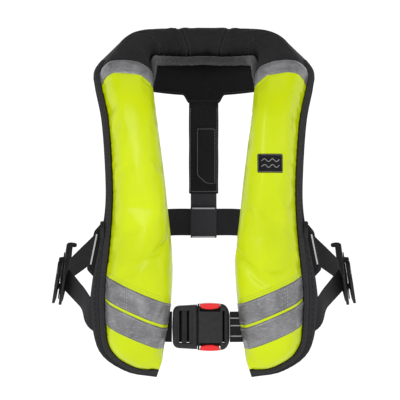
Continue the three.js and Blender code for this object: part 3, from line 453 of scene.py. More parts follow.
def area_light(name, place, target, size, watts, colour=(1, 1, 1)):
    data = bpy.data.lights.new(name, "AREA")
    data.shape = "RECTANGLE"
    data.size, data.size_y = size
    data.energy = watts
    data.color = colour
    lamp = bpy.data.objects.new(name, data)
    lamp.location = place
    lamp.rotation_euler = (Vector(target) - Vector(place)).to_track_quat("-Z", "Y").to_euler()
    scene.collection.objects.link(lamp)


MIDDLE = (0, 0, -0.2)
# place, target, size and watts
area_light("key", (-0.75, -2.3, 0.75), MIDDLE, (0.55, 1.7), 19)
area_light("fill", (1.9, -1.6, 0.3), MIDDLE, (0.8, 1.6), 4)
area_light("top", (0, -0.5, 2.2), MIDDLE, (1.8, 1.4), 6)
area_light("rear", (0.4, 2.4, 0.9), MIDDLE, (2.0, 1.6), 10)
world = bpy.data.worlds.new("studio")
world.use_nodes = True
world.node_tree.nodes["Background"].inputs[0].default_value = (1, 1, 1, 1)
world.node_tree.nodes["Background"].inputs[1].default_value = 0.25
scene.world = world

# ---- the band, as the CAD part has it
# Half of the back plane, hem to nape, in millimetres: outer edge, inner edge, depth and panel margin.
CHEST = -92
HALF = [
    ((76, CHEST, -492), (68, CHEST, -468), 15, 3),
    ((122, CHEST, -484), (64, CHEST, -442), 34, 4),
    ((162, CHEST, -451), (58, CHEST, -410), 46, 8),
    ((170, CHEST, -386), (52, CHEST, -363), 49, 14),
    ((169, CHEST, -338), (50, CHEST, -328), 49, 12),
    ((163, CHEST, -281), (52, CHEST, -280), 48, 7),
    ((159, CHEST, -224), (58, CHEST, -224), 47, 1.5),
    ((159, CHEST, -167), (64, CHEST, -168), 46, 1),
    ((166, -82, -81), (76, -80, -79), 45, 1),
    ((180, -55, -22), (84, -56, -37), 44, 1),
    ((184, -30, 10), (90, -28, -8), 43, 1),
    ((163, 6, 44), (97, 10, 24), 41, 1),
    ((130, 50, 82), (84, 42, 36), 39, 1),
    ((79, 76, 97), (50, 63, 42), 38, 1),
    ((0, 84, 101), (0, 70, 46), 38, 1),
]
LAST = 2 * (len(HALF) - 1)
OUTER, INNER = (
    np.array([h[k] for h in HALF] + [(-h[k][0], *h[k][1:]) for h in HALF[-2::-1]], float) * MM for k in (0, 1)
)
SIZES = np.array([h[2:] for h in HALF] + [h[2:] for h in HALF[-2::-1]], float) * MM
PANEL_T = 2.4 * MM
FOOT = 2.7 * MM
BINDING_W = 10 * MM
SEAM = 9.5 / LAST
BINDING_END = 10.5 / LAST
GAP = 0.3 * MM


def curve_at(points, t, closed_ends=True):
    """Catmull-Rom curve through the points, t from 0 to 1."""
    points = np.asarray(points, float)
    padded = np.vstack([2 * points[0] - points[1], points, 2 * points[-1] - points[-2]])
    place = np.clip(np.asarray(t, float), 0, 1) * (len(points) - 1)
    i = np.minimum(place.astype(int), len(points) - 2)
    w = (place - i)[..., None]
    a, b, c, d = (padded[i + k] for k in range(4))
    return 0.5 * (2 * b + (c - a) * w + (2 * a - 5 * b + 4 * c - d) * w**2 + (3 * b - a - 3 * c + d) * w**3)


def band(s):
    """Frames of the band at the places s: outer point, across, front, along, width, depth and margin."""
    s = np.clip(np.asarray(s, float), 0, 1)
    outer, inner = curve_at(OUTER, s), curve_at(INNER, s)
    across = inner - outer
    width = np.linalg.norm(across, axis=-1)
    across = unit(across)
    d = 0.002
    ahead, behind = np.clip(s + d, 0, 1), np.clip(s - d, 0, 1)
    along = unit(curve_at(OUTER, ahead) + curve_at(INNER, ahead)
                 - curve_at(OUTER, behind) - curve_at(INNER, behind))
    front = unit(np.cross(along, across))
    size = curve_at(SIZES, s)
    return {"outer": outer, "across": across, "front": front, "along": along,
            "width": width, "depth": size[..., 0], "margin": size[..., 1]}


def band_points(s, a, b):
    """Points at a across and b up, arrays of n by m, for the n places s."""
    f = band(s)
    a, b = np.broadcast_to(a, np.broadcast(a, b).shape), np.broadcast_to(b, np.broadcast(a, b).shape)
    return f["outer"][:, None] + a[..., None] * f["across"][:, None] + b[..., None] * f["front"][:, None]


DOME = [(0, 0), (0.03, 0.42), (0.2, 0.84), (0.52, 1), (0.82, 0.93), (0.98, 0.6), (0.99, 0)]


def arc_places(points):
    """Distance along a line of points, from 0 to 1."""
    step = np.linalg.norm(np.diff(points, axis=0), axis=1)
    total = np.concatenate([[0], np.cumsum(step)])
    return total / total[-1]


def dome_section(count):
    """The section's points, evenly spaced along its length."""
    fine = curve_at(DOME, np.linspace(0, 1, 400))
    scaled = fine * (100, 46)
    return at_places(np.linspace(0, 1, count), arc_places(scaled), fine)


def outer_foot(s):
    away = np.minimum(s, 1 - s) - BINDING_END
    k = smoothstep(away, 0, 1 / LAST)
    return (BINDING_W + GAP) * (1 - k) + 2 * MM * k


def dome_grid(s, count, inset=0.0):
    """The dome's surface over the places s, count points across, moved inwards by inset."""
    f = band(s)
    section = dome_section(count)
    start = outer_foot(s)[:, None]
    a = start + (f["width"][:, None] - start) * section[None, :, 0]
    b = FOOT + (f["depth"][:, None] - FOOT) * section[None, :, 1]
    points = band_points(s, a, b)
    normals = grid_normals(points)
    return points - normals * inset


def grid_normals(p):
    du = np.gradient(p, axis=0)
    dv = np.gradient(p, axis=1)
    n = unit(np.cross(du, dv))
    middle = p.mean(1, keepdims=True)
    return n * np.where(((p - middle) * n).sum(-1).mean() < 0, -1, 1)


def sample(grid, i, j):
    """Values of a grid at fractional rows i and columns j."""
    n, m = grid.shape[:2]
    i, j = np.clip(i, 0, n - 1.001), np.clip(j, 0, m - 1.001)
    i0, j0 = np.floor(i).astype(int), np.floor(j).astype(int)
    u, v = (i - i0)[..., None], (j - j0)[..., None]
    return (grid[i0, j0] * (1 - u) * (1 - v) + grid[i0 + 1, j0] * u * (1 - v)
            + grid[i0, j0 + 1] * (1 - u) * v + grid[i0 + 1, j0 + 1] * u * v)


def run_on(grid, ups, i, j):
    """Points and normals for a run of stitches over a grid."""
    return sample(grid, i, j), sample(ups, i, j)


# ---- cloth
def blow_up(grid, pinned, pressure, cap, shrink, frames=18, bend=0.8):
    """Cloth simulation of a grid that swells between its pinned seams. Returns the grid where it lands."""
    n, m = grid.shape[:2]
    faces = [(i * m + j, i * m + j + 1, (i + 1) * m + j + 1, (i + 1) * m + j)
             for i in range(n - 1) for j in range(m - 1)]
    obj = mesh_object("cloth_work", grid.reshape(-1, 3), faces)
    normals = grid_normals(grid).reshape(-1, 3)
    poly = obj.data.polygons[len(faces) // 2]
    if np.dot(np.array(poly.normal), normals[poly.vertices[0]]) < 0:
        obj.data.flip_normals()
    group = obj.vertex_groups.new(name="pin")
    for k, w in enumerate(pinned.ravel()):
        if w > 0:
            group.add([k], float(w), "REPLACE")
    cloth = obj.modifiers.new("cloth", "CLOTH")
    settings = cloth.settings
    settings.quality = 6
    settings.mass = 0.25
    settings.tension_stiffness = settings.compression_stiffness = 18
    settings.shear_stiffness = 8
    settings.bending_stiffness = bend
    settings.tension_damping = settings.compression_damping = 8
    settings.air_damping = 3
    settings.use_pressure = True
    settings.uniform_pressure_force = pressure
    settings.shrink_min = shrink
    settings.vertex_group_mass = "pin"
    settings.effector_weights.gravity = 0
    cloth.collision_settings.use_collision = False
    scene.frame_start, scene.frame_end = 1, frames
    cloth.point_cache.frame_start, cloth.point_cache.frame_end = 1, frames
    for k in range(1, frames + 1):
        scene.frame_set(k)
    evaluated = obj.evaluated_get(bpy.context.evaluated_depsgraph_get())
    co = np.zeros(len(evaluated.data.vertices) * 3)
    evaluated.data.vertices.foreach_get("co", co)
    moved = co.reshape(n, m, 3) - grid
    far = np.linalg.norm(moved, axis=-1, keepdims=True)
    result = grid + moved * np.minimum(1, cap / np.maximum(far, 1e-9))
    scene.frame_set(1)
    bpy.data.objects.remove(obj)
    return result


def pinned_edges(rows, columns):
    pinned = np.zeros((rows, columns))
    pinned[:, [0, -1]] = 1
    pinned[[0, -1], :] = 1
    return pinned


def close_cover(name, grid, base_rows=5):
    """A cover's grid closed along its back, which lies on the panel."""
    first, last = grid[:, :1], grid[:, -1:]
    base = [last * (1 - t) + first * t for t in np.linspace(0, 1, base_rows + 2)[1:-1]]
    rings = np.concatenate([grid, *base], axis=1)
    lengths = np.linalg.norm(np.diff(rings, axis=1), axis=-1).mean(0)
    v = np.concatenate([[0], np.cumsum(lengths)])
    u_step = np.linalg.norm(np.diff(grid[:, grid.shape[1] // 2], axis=0), axis=-1)
    u = np.concatenate([[0], np.cumsum(u_step)])
    uvs = uv_grid(u, v)
    return loft(name, rings, uvs=uvs)


def rows_between(s0, s1, spacing):
    """Places from s0 to s1, evenly spaced in metres along the band's middle."""
    fine = np.linspace(s0, s1, 800)
    middle = (curve_at(OUTER, fine) + curve_at(INNER, fine)) / 2
    step = np.linalg.norm(np.diff(middle, axis=0), axis=1)
    total = np.concatenate([[0], np.cumsum(step)])
    count = max(3, int(total[-1] / spacing) + 1)
    return np.interp(np.linspace(0, total[-1], count), total, fine)


def on_side(side, s):
    """Places of the left lobe, or of its mirror image."""
    return s if side == "left" else 1 - s


def dents(s, count, list_of_dents):
    """Soft folds and hollows, as FOLDS lists them."""
    stations = s[:, None] * LAST
    across = np.linspace(0, 1, count)[None, :]
    height = np.zeros((len(s), count))
    for station, share, length, breadth, turn, size in list_of_dents:
        x, y = (stations - station) * 0.055, (across - share) * 0.17
        c, t = math.cos(turn), math.sin(turn)
        along, side = x * c + y * t, -x * t + y * c
        height += size * MM * np.exp(-((along / length) ** 2) - (side / breadth) ** 2)
    return height


def pucker(s, count, rng, size, edge_share=0.12, every=0.011):
    """Small gathers that run in from the binding seam."""
    f = band(s)
    run = run_of(f["outer"])
    across = np.linspace(0, 1, count)[None, :]
    out = np.zeros((len(s), count))
    place = 0.0
    while place < run[-1]:
        place += every * rng.uniform(0.6, 1.5)
        width = rng.uniform(0.0022, 0.0042)
        reach = edge_share * rng.uniform(0.6, 1.5)
        tall = size * rng.uniform(0.4, 1.2)
        lean = rng.uniform(-0.03, 0.03)
        d = (run[:, None] - place - lean * across) / width
        fade = np.exp(-((across / reach) ** 2)) * smoothstep(across, 0.0, 0.03)
        out -= tall * np.exp(-(d**2)) * fade
    return out


COUNT = 44
LOBE_PRESSURE, COLLAR_PRESSURE = 2.2, 2.0
LOBE_SWELL, COLLAR_SWELL = 0.007, 0.005
CLOTH_SHRINK = -0.012
lobes = {}
# (station, share across, length, breadth, turn, height in mm)
FOLDS = {
    "right": [  # on the viewer's left
        (5.6, 0.62, 0.060, 0.012, 0.5, 2.4), (5.0, 0.74, 0.034, 0.010, 0.9, -2.6),
        (4.7, 0.60, 0.045, 0.012, 0.35, 1.8), (7.8, 0.30, 0.075, 0.018, 0.05, 1.8),
        (6.9, 0.46, 0.060, 0.020, -0.2, -1.6), (2.2, 0.5, 0.03, 0.02, 0.6, 1.2),
        (8.6, 0.7, 0.03, 0.012, 0.3, -1.5), (3.9, 0.22, 0.03, 0.012, 0.8, -1.4),
        (4.6, 0.12, 0.03, 0.009, 0.5, -1.6),
    ],
    "left": [
        (5.1, 0.42, 0.030, 0.020, -0.7, 2.2), (4.6, 0.26, 0.028, 0.012, -0.9, -2.2),
        (5.4, 0.22, 0.030, 0.012, -0.3, -1.8), (7.5, 0.62, 0.075, 0.016, 0.08, 1.6),
        (6.6, 0.80, 0.060, 0.012, 0.15, -1.5), (8.5, 0.35, 0.04, 0.016, -0.3, 1.4),
        (2.3, 0.4, 0.03, 0.02, -0.6, 1.3), (4.2, 0.66, 0.03, 0.012, 0.6, -1.3),
        (6.1, 0.12, 0.03, 0.009, -0.4, -1.5),
    ],
}
for side, seed in (("left", 4), ("right", 9)):
    rng = np.random.default_rng(seed)
    s = rows_between(0, SEAM - 0.0003, 0.0042)
    s = on_side(side, s)
    start = dome_grid(s, COUNT, 0.0)
    measure = on_side(side, s)
    relief = dents(measure, COUNT, FOLDS[side]) + pucker(measure, COUNT, rng, 0.0013)
    normals = grid_normals(start)
    edge = np.linspace(0, 1, COUNT)[None, :]
    quiet = smoothstep(edge, 0, 0.06) * smoothstep(1 - edge, 0, 0.04)
    ends = smoothstep(np.arange(len(s)), 0, 4) * smoothstep(len(s) - 1 - np.arange(len(s)), 0, 3)
    grid = start + normals * ((relief - 0.0022) * quiet * ends[:, None])[..., None]
    grid = blow_up(grid, pinned_edges(len(s), COUNT), LOBE_PRESSURE, LOBE_SWELL, CLOTH_SHRINK)
    lobes[side] = {"grid": grid, "s": s, "normals": grid_normals(grid)}
    cover = close_cover(f"cover_{side}", grid)
    give(cover, YELLOW, replaces=[f"lobe_cover_{side}"])

# ---- stitches and thin sheets
def stitches(name, runs, thread, length=0.0030, space=0.0016, radius=0.00038, lift=0.00015):
    """Rows of separate stitches along runs of (points, normals), joined into one mesh."""
    around = np.linspace(0, 2 * math.pi, 6)[:-1]
    stations = [(-0.5, 0.3, -0.6), (-0.3, 0.95, 0.3), (0.3, 0.95, 0.3), (0.5, 0.3, -0.6)]
    parts = []
    faces = []
    for k in range(3):
        low, high = k * 5, (k + 1) * 5
        faces += [(low + j, low + (j + 1) % 5, high + (j + 1) % 5, high + j) for j in range(5)]
    faces += [tuple(range(5))[::-1], tuple(range(15, 20))]
    for points, normals in runs:
        run = run_of(points)
        count = max(1, int(run[-1] / (length + space)))
        at = (np.arange(count) + 0.5) * run[-1] / count
        place = at_places(at, run, points)
        normal = unit(at_places(at, run, normals))
        along = unit(at_places(at + 0.0008, run, points) - at_places(at - 0.0008, run, points))
        side = np.cross(along, normal)
        for p, d, n, w in zip(place, along, normal, side):
            rings = [
                p + d * (o * length) + n * (lift + radius * (h + r * np.cos(around)))[:, None]
                + w * (radius * r * np.sin(around))[:, None]
                for o, r, h in stations
            ]
            parts.append((np.vstack(rings), faces))
    return give(join_parts(name, parts), thread)


def sheet_between(name, top, under, uvs=None, path_closed=False):
    """A thin closed piece between two grids of the same shape."""
    rings = np.concatenate([top, under[:, ::-1]], axis=1)
    if uvs is None:
        u = run_of(top[:, top.shape[1] // 2])
        v = run_of(top[len(top) // 2])
        v = v - v[-1] / 2
        uvs = uv_grid(u, v)
    both = np.concatenate([uvs, uvs[:, ::-1]], axis=1)
    return loft(name, rings, path_closed=path_closed, caps=not path_closed, uvs=both)


def rounded(points, radius, steps=5, closed=True):
    """A polygon with its corners rounded, as a denser line of points."""
    points = np.asarray(points, float)
    out = []
    n = len(points)
    for k in range(n):
        p = points[k]
        if not closed and k in (0, n - 1):
            out.append(p)
            continue
        a, b = points[k - 1] - p, points[(k + 1) % n] - p
        la, lb = np.linalg.norm(a), np.linalg.norm(b)
        r = min(radius, la * 0.45, lb * 0.45)
        start, end = p + a / la * r, p + b / lb * r
        for t in np.linspace(0, 1, steps):
            out.append(start * (1 - t) ** 2 + 2 * p * t * (1 - t) + end * t**2)
    return np.array(out)


def even(points, spacing, closed=True):
    """Points at an even spacing along a line."""
    line = np.vstack([points, points[:1]]) if closed else points
    run = run_of(line)
    count = max(4, int(run[-1] / spacing))
    at = np.linspace(0, run[-1], count + (0 if closed else 1), endpoint=not closed)
    return at_places(at, run, line)


def soft_plate(name, outline, place, thickness, puff=0.0005, wave=0.0004, seed=1):
    """A flat fabric piece with rounded edges from a 2D outline. place(xy, height) gives its points."""
    edge = even(outline, 0.003)
    centre = edge.mean(0)
    levels = [(0.0, 0.0), (0.55, 0.0), (0.9, 0.0), (0.985, 0.06), (1.0, 0.4), (0.995, 0.75)]
    levels += [(0.97, 0.96), (0.9, 1.0), (0.7, 1.0), (0.45, 1.0), (0.2, 1.0), (0.0, 1.0)]
    rings, uvs = [], []
    for share, height in levels:
        xy = centre + (edge - centre) * max(share, 0.001)
        ripple = np.array([noise.noise((x * 60, y * 60, seed * 3.7)) for x, y in xy])
        up = height * (thickness + ripple * wave + puff * (1 - share)) if height > 0.5 else height * thickness
        rings.append(place(xy, up * np.ones(len(xy))))
        uvs.append(xy)
    return loft(name, np.array(rings), caps=False, uvs=np.array(uvs)), edge


def strap(name, points, outs, ups, width, thickness, path_closed=False):
    """Webbing along points, with slightly thicker woven edges. u runs along and v across."""
    points, outs, ups = (np.asarray(x, float) for x in (points, outs, ups))
    shape = [(-0.5, 0.0), (-0.497, 0.34), (-0.485, 0.56), (-0.46, 0.52), (-0.43, 0.46), (-0.2, 0.46)]
    shape = shape + [(0.0, 0.46)] + [(-x, y) for x, y in shape[::-1]]
    ring = shape + [(x, -y) for x, y in shape[-2:0:-1]]
    x = np.array([p[0] for p in ring]) * 2 * (width / 2)
    y = np.array([p[1] for p in ring]) * thickness
    rings = points[:, None] + ups[:, None] * x[None, :, None] + outs[:, None] * y[None, :, None]
    u = run_of(points)
    uvs = np.stack([np.repeat(u[:, None], len(x), 1), np.repeat(x[None], len(u), 0)], -1)
    if path_closed:
        rings = np.concatenate([rings, rings[:1]])
        last = u[-1] + np.linalg.norm(points[0] - points[-1])
        uvs = np.concatenate([uvs, np.stack([np.full(len(x), last), x], -1)[None]])
    return loft(name, rings, uvs=uvs, caps=not path_closed)


# ---- collar
collar_s = rows_between(SEAM + 0.0003, 1 - SEAM - 0.0003, 0.0033)
COLLAR_COUNT = 52
collar_start = dome_grid(collar_s, COLLAR_COUNT)
collar_normals = grid_normals(collar_start)
station = np.minimum(collar_s, 1 - collar_s)[:, None] * LAST
share = np.linspace(0, 1, COLLAR_COUNT)[None, :]
collar_relief = np.full((len(collar_s), COLLAR_COUNT), -0.0018)
# panel seams over the nape, and a dart over each shoulder
SEAMS = [(13.42, 0.02, 0.98, 0.06), (11.95, 0.30, 0.97, 0.25)]
for at_row, low_share, high_share, slope in SEAMS:
    away = (station - (at_row + slope * (share - 0.5))) * 0.046
    inside = smoothstep(share, low_share, low_share + 0.06)
    inside = inside * (1 - smoothstep(share, high_share - 0.05, high_share))
    groove = -0.0023 * np.exp(-((away / 0.0022) ** 2))
    collar_relief += inside * (groove + 0.0008 * np.exp(-((np.abs(away) - 0.007) / 0.004) ** 2))
rng = np.random.default_rng(21)
for _ in range(46):  # gathers along the neck edge
    at_row, wide = rng.uniform(SEAM * LAST + 0.2, 14.0), rng.uniform(0.0018, 0.0042)
    reach, tall, mirror = rng.uniform(0.10, 0.32), rng.uniform(0.0007, 0.0024), rng.random() < 0.5
    place = np.where((collar_s < 0.5)[:, None] == mirror, station, 99)
    away = (place - at_row - rng.uniform(-0.5, 0.5) * (share - 1)) * 0.046
    collar_relief -= tall * np.exp(-((away / wide) ** 2)) * np.exp(-(((share - 0.97) / reach) ** 2))
for row_at, share_at, long, broad, turn, tall in [
    (10.6, 0.35, 0.03, 0.014, 0.6, -1.8), (12.6, 0.25, 0.04, 0.018, 0.1, -1.5),
    (11.2, 0.75, 0.03, 0.012, -0.5, 1.4), (13.0, 0.65, 0.03, 0.016, 0.3, 1.2),
    (10.2, 0.7, 0.03, 0.010, 0.9, -1.5),
]:
    x, y = (station - row_at) * 0.046, (share - share_at) * 0.15
    c, t = math.cos(turn), math.sin(turn)
    collar_relief += tall * MM * np.exp(-(((x * c + y * t) / long) ** 2) - (((-x * t + y * c) / broad) ** 2))
row_numbers = np.arange(len(collar_s))
ends = smoothstep(row_numbers, 0, 3) * smoothstep(len(collar_s) - 1 - row_numbers, 0, 3)
quiet = smoothstep(share, 0, 0.05) * smoothstep(1 - share, 0, 0.03) * ends[:, None]
collar_grid = collar_start + collar_normals * (collar_relief * quiet)[..., None]
pinned = pinned_edges(len(collar_s), COLLAR_COUNT)
for at_row, low_share, high_share, slope in SEAMS[:1]:
    for half in (collar_s < 0.5, collar_s >= 0.5):
        rows = np.where(half)[0]
        pinned[rows[np.abs(station[rows, 0] - at_row).argmin()], 3:-3] = 0.9
collar_grid = blow_up(collar_grid, pinned, COLLAR_PRESSURE, COLLAR_SWELL, CLOTH_SHRINK, frames=16)
collar = close_cover("collar_cloth", collar_grid)
give(collar, COLLAR, replaces=["collar_cover"])
collar_normals = grid_normals(collar_grid)
runs = []
for half in (collar_s < 0.5, collar_s >= 0.5):
    rows = np.where(half)[0]
    for at_row, low_share, high_share, slope in SEAMS:
        cols = np.linspace(low_share + 0.05, high_share - 0.04, 40)
        for offset in (-0.075, 0.075):
            wanted = at_row + slope * (cols - 0.5) + offset
            order = rows[np.argsort(station[rows, 0])]
            i = np.interp(wanted, station[order, 0], order)
            j = cols * (COLLAR_COUNT - 1)
            runs.append((sample(collar_grid, i, j), unit(sample(collar_normals, i, j))))
i = np.linspace(4, len(collar_s) - 5, 300)
j = np.full(300, 0.955 * (COLLAR_COUNT - 1))
runs.append((sample(collar_grid, i, j), unit(sample(collar_normals, i, j))))
stitches("collar_stitches", runs, BLACK_THREAD)

# fleece liner: the panel under the collar and the roll along the neck edge
liner_s = rows_between(SEAM + 0.0003, 1 - SEAM - 0.0003, 0.0036)
f = band(liner_s)
full = smoothstep(np.minimum(liner_s, 1 - liner_s), SEAM, SEAM + 1.5 / LAST)
size_at = (3 * (1 - full) + 15.5 * full)[:, None] * MM
edge, margin = f["width"][:, None], f["margin"][:, None]
turns = np.linspace(-0.5 * math.pi, 0.62 * math.pi, 13)[None, :]
roll_a = edge + 0.45 * size_at + 0.55 * size_at * np.cos(turns)
roll_b = 0.70 * size_at + 0.66 * size_at * np.sin(turns)
across = np.linspace(0, 1, 14)[None, :]
under_a = -margin + (edge + margin) * across
over_a = under_a[:, ::-1] * np.ones((len(liner_s), 1))
a = np.concatenate([under_a, roll_a, np.minimum(over_a, edge + 0.0002)], 1)
b = np.concatenate([0 * under_a, np.maximum(roll_b, 0), 0 * over_a + PANEL_T], 1)
liner_points = band_points(liner_s, a, b)
fluff = np.array([[noise.noise(tuple(p * 170)) * 0.0011 + noise.noise(tuple(p * 420)) * 0.0007 for p in row]
                  for row in liner_points])
middle = band_points(liner_s, edge + 0.45 * size_at, 0.70 * size_at)
outward = unit(liner_points - middle)
roll_only = np.zeros(a.shape[1])
roll_only[14:27] = 1
liner_points = liner_points + outward * (fluff * roll_only * full[:, None])[..., None]
u = run_of(liner_points[:, 20])
v = np.linspace(0, 0.3, a.shape[1])
liner = loft("collar_fleece", liner_points, uvs=uv_grid(u, v))
give(liner, FLEECE, replaces=["collar_liner"])

# ---- the lobes' panels, binding, zip and seams
for side in ("left", "right"):
    s = on_side(side, rows_between(0, SEAM - 0.0006, 0.008))
    f = band(s)
    across = np.linspace(0, 1, 15)[None, :]
    a = -f["margin"][:, None] + (f["width"][:, None] - 0.003 + f["margin"][:, None]) * across
    plump = 0.0009 * np.sin(np.pi * across) * np.ones((len(s), 1))
    top = band_points(s, a, 0 * a + PANEL_T - 0.0003)
    under = band_points(s, a, 0 * a - plump + 0.0004)
    mid_out = band_points(s, a[:, :1] - 0.0006, a[:, :1] * 0 + PANEL_T / 2)
    mid_in = band_points(s, a[:, -1:] + 0.0004, a[:, :1] * 0 + PANEL_T / 2)
    top, under = np.concatenate([mid_out, top, mid_in], 1), np.concatenate([mid_out, under, mid_in], 1)
    top[:, 0] += (top[:, 1] - top[:, 0]) * 0.02
    give(sheet_between(f"panel_{side}", top, under), MESH, replaces=[f"back_panel_{side}"])

    s = on_side(side, rows_between(0, BINDING_END, 0.0035))
    f = band(s)
    shape = [(0.2, 0), (-0.1, 1.2), (0.3, 2.8), (1.7, 3.9), (3.4, 4.2), (5.2, 4.2), (7.0, 4.0)]
    shape += [(8.6, 3.3), (9.7, 2.0), (10.1, 0.8), (9.8, 0)]
    a = np.array([p[0] for p in shape])[None, :] * MM * np.ones((len(s), 1))
    b = np.array([p[1] for p in shape])[None, :] * MM + FOOT
    run = run_of(f["outer"])
    place = 2.0 if side == "left" else 7.0
    wave = np.array([[noise.noise((r * 90, k * 0.6, place)) for k in range(len(shape))] for r in run])
    b = b + wave * 0.0005 * np.array([0, 0, 1, 1, 1, 1, 1, 1, 1, 0, 0])
    points = band_points(s, a, b)
    v = np.concatenate([[0], np.cumsum(np.hypot(np.diff(a[0]), np.diff(b[0])))])
    bound = loft(f"binding_{side}", points, uvs=uv_grid(run, v))
    give(bound, BINDING, replaces=[f"edge_binding_{side}"])
    rows = [(points[:, 7] * 0.5 + points[:, 6] * 0.5, unit(points[:, 7] - points[:, 9] + f["front"] * 0.01))]
    stitches(f"binding_stitches_{side}", rows, BLACK_THREAD)

    s = on_side(side, rows_between(0, 5.5 / LAST, 0.005))
    f = band(s)
    wide = f["margin"][:, None]
    across = np.array([0, 0.12, 0.3, 0.42, 0.58, 0.7, 0.88, 1.0])[None, :]
    a = 0.0005 - wide + (wide - 0.0008) * across
    raised = np.array([-0.6, 0.2, 0.1, 0.55, 0.55, 0.1, 0.2, 0])[None, :]
    b = FOOT + 0.0012 + raised * MM * np.minimum(1, wide / 0.006)
    top, under = band_points(s, a, b), band_points(s, a, 0 * b + FOOT)
    give(sheet_between(f"zip_tape_{side}", top, under), BINDING, replaces=[f"zip_{side}"])
    fine = on_side(side, rows_between(0.25 / LAST, 5.3 / LAST, 0.0023))
    f = band(fine)
    teeth = []
    block = np.array([[x, y, z] for x in (-1, 1) for y in (-1, 1) for z in (-1, 1)], float)
    block_faces = [(0, 1, 3, 2), (4, 6, 7, 5), (0, 4, 5, 1), (2, 3, 7, 6), (0, 2, 6, 4), (1, 5, 7, 3)]
    for k in range(len(fine)):
        if f["margin"][k] < 0.004:
            continue
        middle = -f["margin"][k] * 0.5 + (0.0006 if k % 2 else -0.0006)
        centre = f["outer"][k] + middle * f["across"][k] + (FOOT + 0.0017) * f["front"][k]
        axes = np.array([f["across"][k] * 0.0017, f["along"][k] * 0.00062, f["front"][k] * 0.0006])
        teeth.append((centre + block @ axes, block_faces))
    give(join_parts(f"zip_teeth_{side}", teeth, smooth=False), BLACK_PLASTIC)


# ---- tapes and badge, laid on the covers
def row_where(side, z_of_x):
    """For each column of a lobe's grid, the fractional row where the cover meets a line in the front view."""
    grid = lobes[side]["grid"]
    out = []
    for j in range(grid.shape[1]):
        height = grid[:, j, 2] - z_of_x(np.abs(grid[:, j, 0]))
        near_hem = np.abs(height) < 0.15
        cross = [k for k in range(len(height) - 1) if height[k] * height[k + 1] <= 0 and near_hem[k]]
        k = cross[0] if cross else int(np.abs(height).argmin())
        k = min(k, len(height) - 2)
        step = height[k + 1] - height[k]
        out.append(k + (0 if abs(step) < 1e-9 else -height[k] / step))
    return np.clip(np.array(out), 0, len(grid) - 1.001)


TAPE_SLOPE = math.tan(math.radians(23))
TAPE_TALL = 34 * MM / math.cos(math.radians(23))
TAPE_LEVELS = {"upper": 0.0, "lower": 0.0415}
SHOULDER_TAPE = (9.1, 9.75)
TAPE_OUTER_X = 0.154
TAPE_OUTER_Z = -0.332


def tape_line(down, share):
    """Height of a slanted tape's line over x: down from the upper edge, share of the tape's own height."""
    def z_of_x(x):
        return TAPE_OUTER_Z - (TAPE_OUTER_X - x) * TAPE_SLOPE - down - share * TAPE_TALL
    return z_of_x


